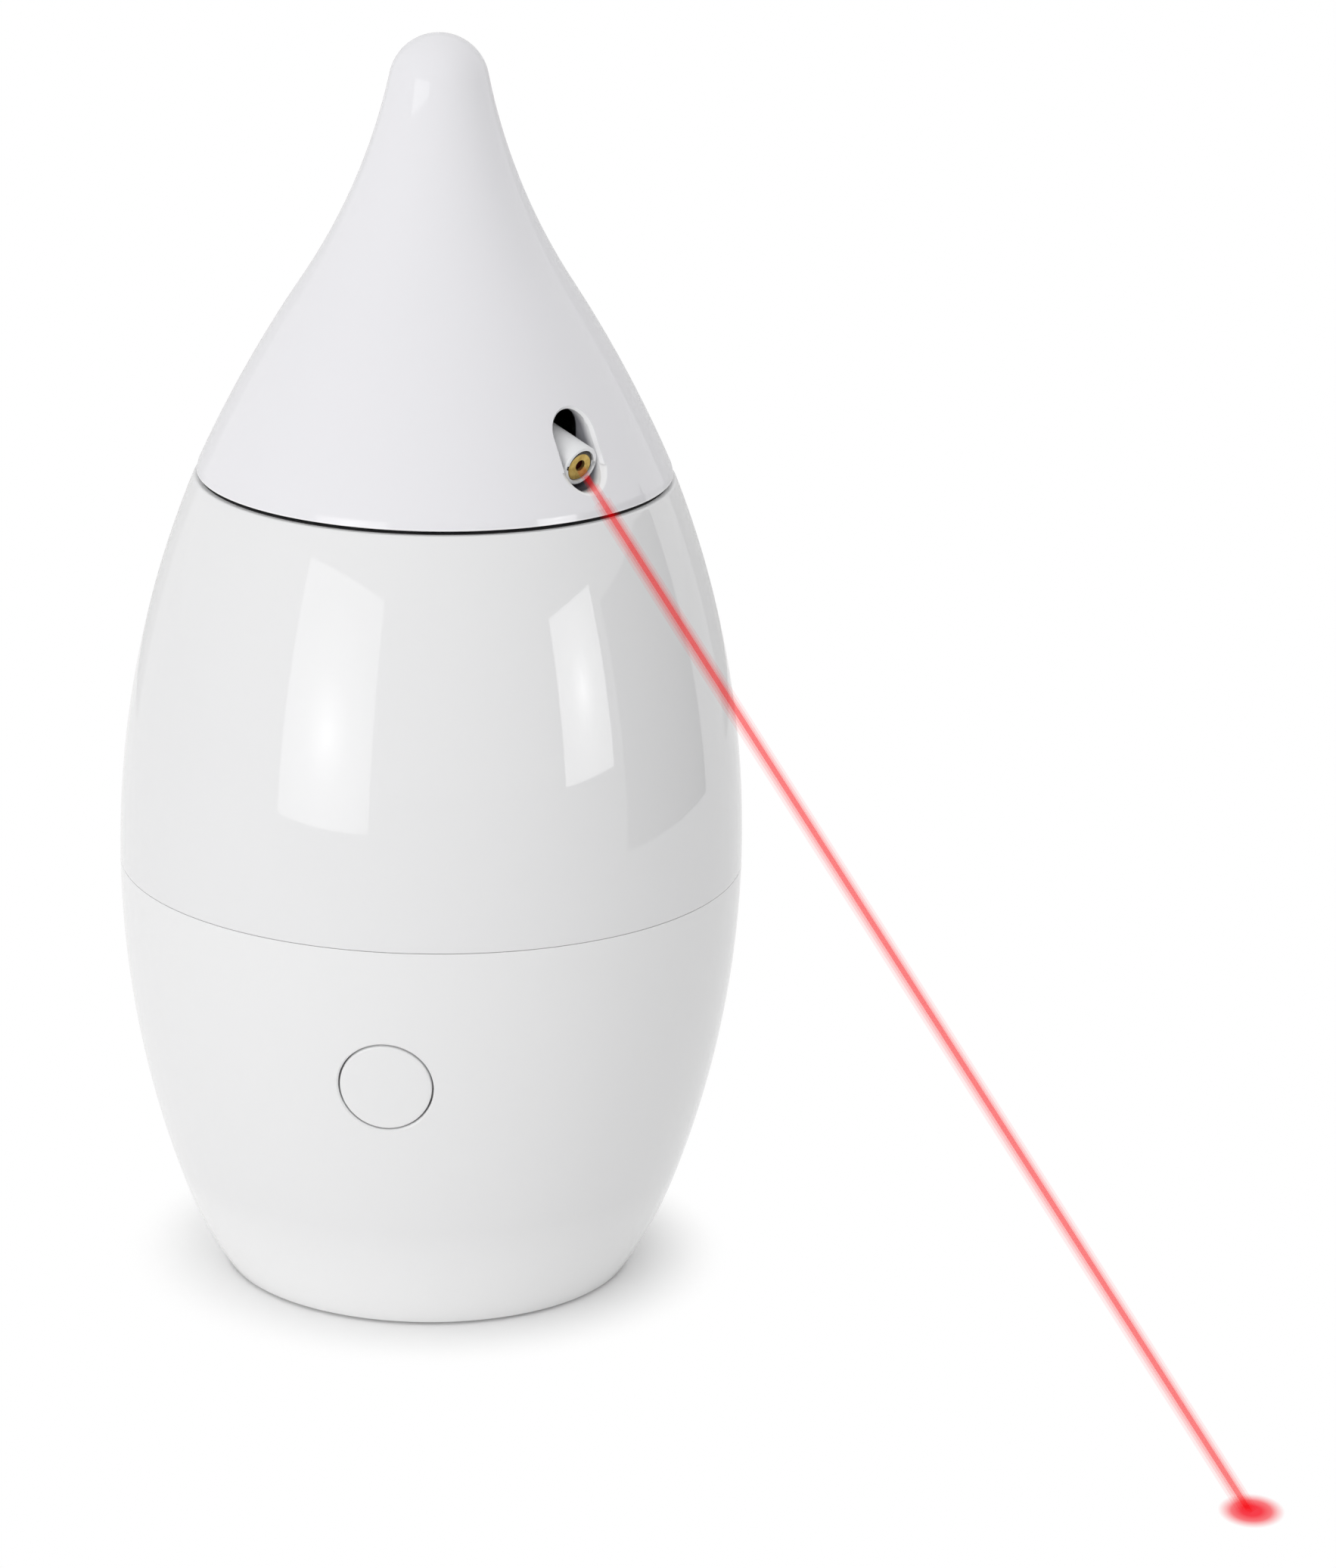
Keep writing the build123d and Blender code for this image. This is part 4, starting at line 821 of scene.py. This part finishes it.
def makeSpot():
    bm = bmesh.new()
    bmesh.ops.create_circle(bm, cap_ends=True, segments=spot["segments"], radius=1.0)
    bmesh.ops.scale(bm, verts=bm.verts, vec=(*spot["size"], 1))
    bmesh.ops.translate(bm, verts=bm.verts, vec=(*spot["place"], spot["lift"]))
    s = Shader("spotLight")
    wide, deep = spot["size"]
    centre = (-spot["place"][0] / wide, -spot["place"][1] / deep, 0)
    centred = s.moved(s.place(), location=centre, scale=(1 / mm / wide, 1 / mm / deep, 0))
    glow = s.node("ShaderNodeEmission", None, {"Color": spot["colour"], "Strength": 1.0})
    s.mixShaders(s.ramp(s.length(centred), spot["fade"]), s.node("ShaderNodeBsdfTransparent"), glow)
    onlySeen(finishPiece(bm, "laserSpot", None, s.holder))


makeBeam()
makeSpot()
print("laser light made")

# ambient is the level of the surround, target the height that the softboxes face
studio = dict(ambient=0.82, target=0.11, fadeStops=[(0.0, 1.0), (0.09, 0.6), (0.24, 0.22), (0.55, 0.0)],
              cardGrain=60.0, cardShade=0.96, cardSteps=16, matt=0.9)
# glow is the floor's own level under the toy; it and the white fade over reach; mirrored gives the tone
# that the toy reflects, from left to right
floor = dict(colour=(0.95, 0.95, 0.95), shade=(0.94, 0.94, 0.94), grain=900.0, half=4000, glow=0.05,
             reach=(0.035, 0.052), mirrored=((-0.15, 0.96), (0.15, 0.92)))
softboxes = {
    "leftSoftbox": dict(azimuth=-31.0, elevation=7.0, distance=0.8, size=(0.50, 0.425), centre=6.4, edge=2.6,
                        fill=0.73, roll=0.5, hot=-0.12),
    "rightSoftbox": dict(azimuth=67.0, elevation=6.3, distance=0.8, size=(0.29, 0.276), centre=8.5, edge=4.0,
                         fill=0.04, roll=0.0, hot=0.0),
    "overheadSoftbox": dict(azimuth=15.0, elevation=76.0, distance=1.0, size=(0.7, 0.7), centre=1.0, edge=1.0,
                            fill=1.3, roll=0.0, hot=0.0),
}
cards = {
    "rightFlag": dict(azimuth=(80.0, 124.0), radius=0.45, height=0.22, colour=(0.10, 0.10, 0.10)),
    "rightBackCard": dict(azimuth=(146.0, 188.0), radius=0.45, height=0.5, colour=(0.84, 0.84, 0.84)),
    "leftBackCard": dict(azimuth=(188.0, 226.0), radius=0.45, height=0.5, colour=(0.94, 0.94, 0.94)),
}


def pathShares(s):
    # 1 for rays of the camera, then 1 for those of mirrors and glass
    path = s.node("ShaderNodeLightPath").out.node
    camera, glossy, through = [Sock(s, path.outputs[name])
                               for name in ("Is Camera Ray", "Is Glossy Ray", "Is Transmission Ray")]
    return camera, glossy.atLeast(through)


def makeSurround():
    s = Shader("surround", bpy.data.worlds.new("surround"))
    level = studio["ambient"]
    camera, mirror = pathShares(s)
    colour = s.blend(camera.atLeast(mirror), (level, level, level), (1.0, 1.0, 1.0))
    s.plug(s.nodes["Background"].inputs["Color"], colour)
    bpy.context.scene.world = s.holder


def makeFloor():
    # pure white away from the toy; near it the shadow shows
    bm = bmesh.new()
    bmesh.ops.create_grid(bm, x_segments=8, y_segments=8, size=floor["half"])
    s = Shader("floorPaper")
    place = s.place()
    near, far = floor["reach"]
    share = s.node("ShaderNodeMapRange", dict(interpolation_type="SMOOTHSTEP"),
                   {"Value": s.length(s.moved(place, scale=(1, 1, 0))), "From Min": near, "From Max": far})
    camera, mirror = pathShares(s)
    (left, leftTone), (right, rightTone) = floor["mirrored"]
    tone = s.node("ShaderNodeMapRange", None, {"Value": s.along(place, "X"), "From Min": left,
                                               "From Max": right, "To Min": leftTone, "To Max": rightTone})
    paper = s.blend(s.noise(place, floor["grain"]), floor["colour"], floor["shade"])
    s.set("Base Color", s.blend(share * camera.atLeast(mirror), paper, (0.0, 0.0, 0.0)))
    s.set("Roughness", studio["matt"])
    s.set("Specular IOR Level", 0.0)
    level = (share * (1.0 - floor["glow"]) + floor["glow"]) * (camera + mirror * tone)
    s.set("Emission Color", s.blend(level, (0.0, 0.0, 0.0), (1.0, 1.0, 1.0)))
    s.set("Emission Strength", 1.0)
    finishPiece(bm, "floor", None, s.holder)


def makePanel(name, look, strength):
    # cloth with a hot middle, bright on one side only
    azimuth, elevation = math.radians(look["azimuth"]), math.radians(look["elevation"])
    outward = Vector((math.sin(azimuth) * math.cos(elevation), -math.cos(azimuth) * math.cos(elevation),
                      math.sin(elevation)))
    bm = bmesh.new()
    bmesh.ops.create_grid(bm, x_segments=6, y_segments=6, size=0.5)
    s = Shader(name + "Cloth")
    away = s.length(s.moved(s.place(), location=(0, -look["hot"], 0)))
    level = s.ramp(away, studio["fadeStops"]) * (look["centre"] - look["edge"]) + look["edge"]
    glow = s.node("ShaderNodeEmission", None, {"Color": level * strength, "Strength": 1.0})
    back = s.node("ShaderNodeNewGeometry", output="Backfacing")
    s.mixShaders(back, glow, s.node("ShaderNodeBsdfTransparent"))
    mesh = bpy.data.meshes.new(name)
    bm.to_mesh(mesh)
    bm.free()
    mesh.materials.append(s.holder)
    panel = bpy.data.objects.new(name, mesh)
    panel.location = Vector((0, 0, studio["target"])) + outward * look["distance"]
    facing = (-outward).to_track_quat("Z", "Y").to_matrix()
    panel.rotation_euler = (facing @ Matrix.Rotation(math.radians(look["roll"]), 3, "Z")).to_euler()
    panel.scale = (*look["size"], 1.0)
    panel.visible_camera = False
    panel.visible_shadow = False
    bpy.context.scene.collection.objects.link(panel)
    return panel


def makeSoftbox(name, look):
    # one panel for the reflections, a dimmer one for the light that it sheds
    makePanel(name, look, 1.0).visible_diffuse = False
    makePanel(name + "Fill", look, look["fill"]).visible_glossy = False


def makeCard(name, look):
    start, end = look["azimuth"]
    bm = bmesh.new()
    low = bm.verts.new((0, -look["radius"] / mm, 0))
    high = bm.verts.new((0, -look["radius"] / mm, look["height"] / mm))
    edge = bm.edges.new((low, high))
    bmesh.ops.rotate(bm, verts=bm.verts, matrix=Matrix.Rotation(math.radians(start), 3, "Z"))
    bmesh.ops.spin(bm, geom=[low, high, edge], axis=(0, 0, 1), angle=math.radians(end - start),
                   steps=studio["cardSteps"])
    s = Shader(name + "Cloth")
    shade = tuple(c * studio["cardShade"] for c in look["colour"])
    s.set("Base Color", s.blend(s.noise(s.place(), studio["cardGrain"]), look["colour"], shade))
    s.set("Roughness", studio["matt"])
    card = finishPiece(bm, name, None, s.holder)
    card.visible_camera = False


makeSurround()
makeFloor()
for boxName, boxLook in softboxes.items():
    makeSoftbox(boxName, boxLook)
for cardName, cardLook in cards.items():
    makeCard(cardName, cardLook)
print("studio lit")

view = dict(place=(132.2, -917.3, 375.8), yaw=-5.762, down=17.478, roll=1.277, lens=133.2, sensor=36.0)


def makeCamera():
    yaw, down, roll = (math.radians(view[key]) for key in ("yaw", "down", "roll"))
    forward = Vector((math.sin(yaw) * math.cos(down), math.cos(yaw) * math.cos(down), -math.sin(down)))
    right = forward.cross(Vector((0, 0, 1))).normalized()
    up = right.cross(forward)
    turned = (math.cos(roll) * right + math.sin(roll) * up, math.cos(roll) * up - math.sin(roll) * right,
              -forward)
    camera = bpy.data.objects.new("camera", bpy.data.cameras.new("camera"))
    camera.data.lens = view["lens"]
    camera.data.sensor_width = view["sensor"]
    place = Matrix.Translation(Vector(view["place"]) * mm)
    camera.matrix_world = place @ Matrix(turned).transposed().to_4x4()
    bpy.context.scene.collection.objects.link(camera)
    bpy.context.scene.camera = camera


makeCamera()
bpy.context.scene.view_settings.view_transform = "Standard"
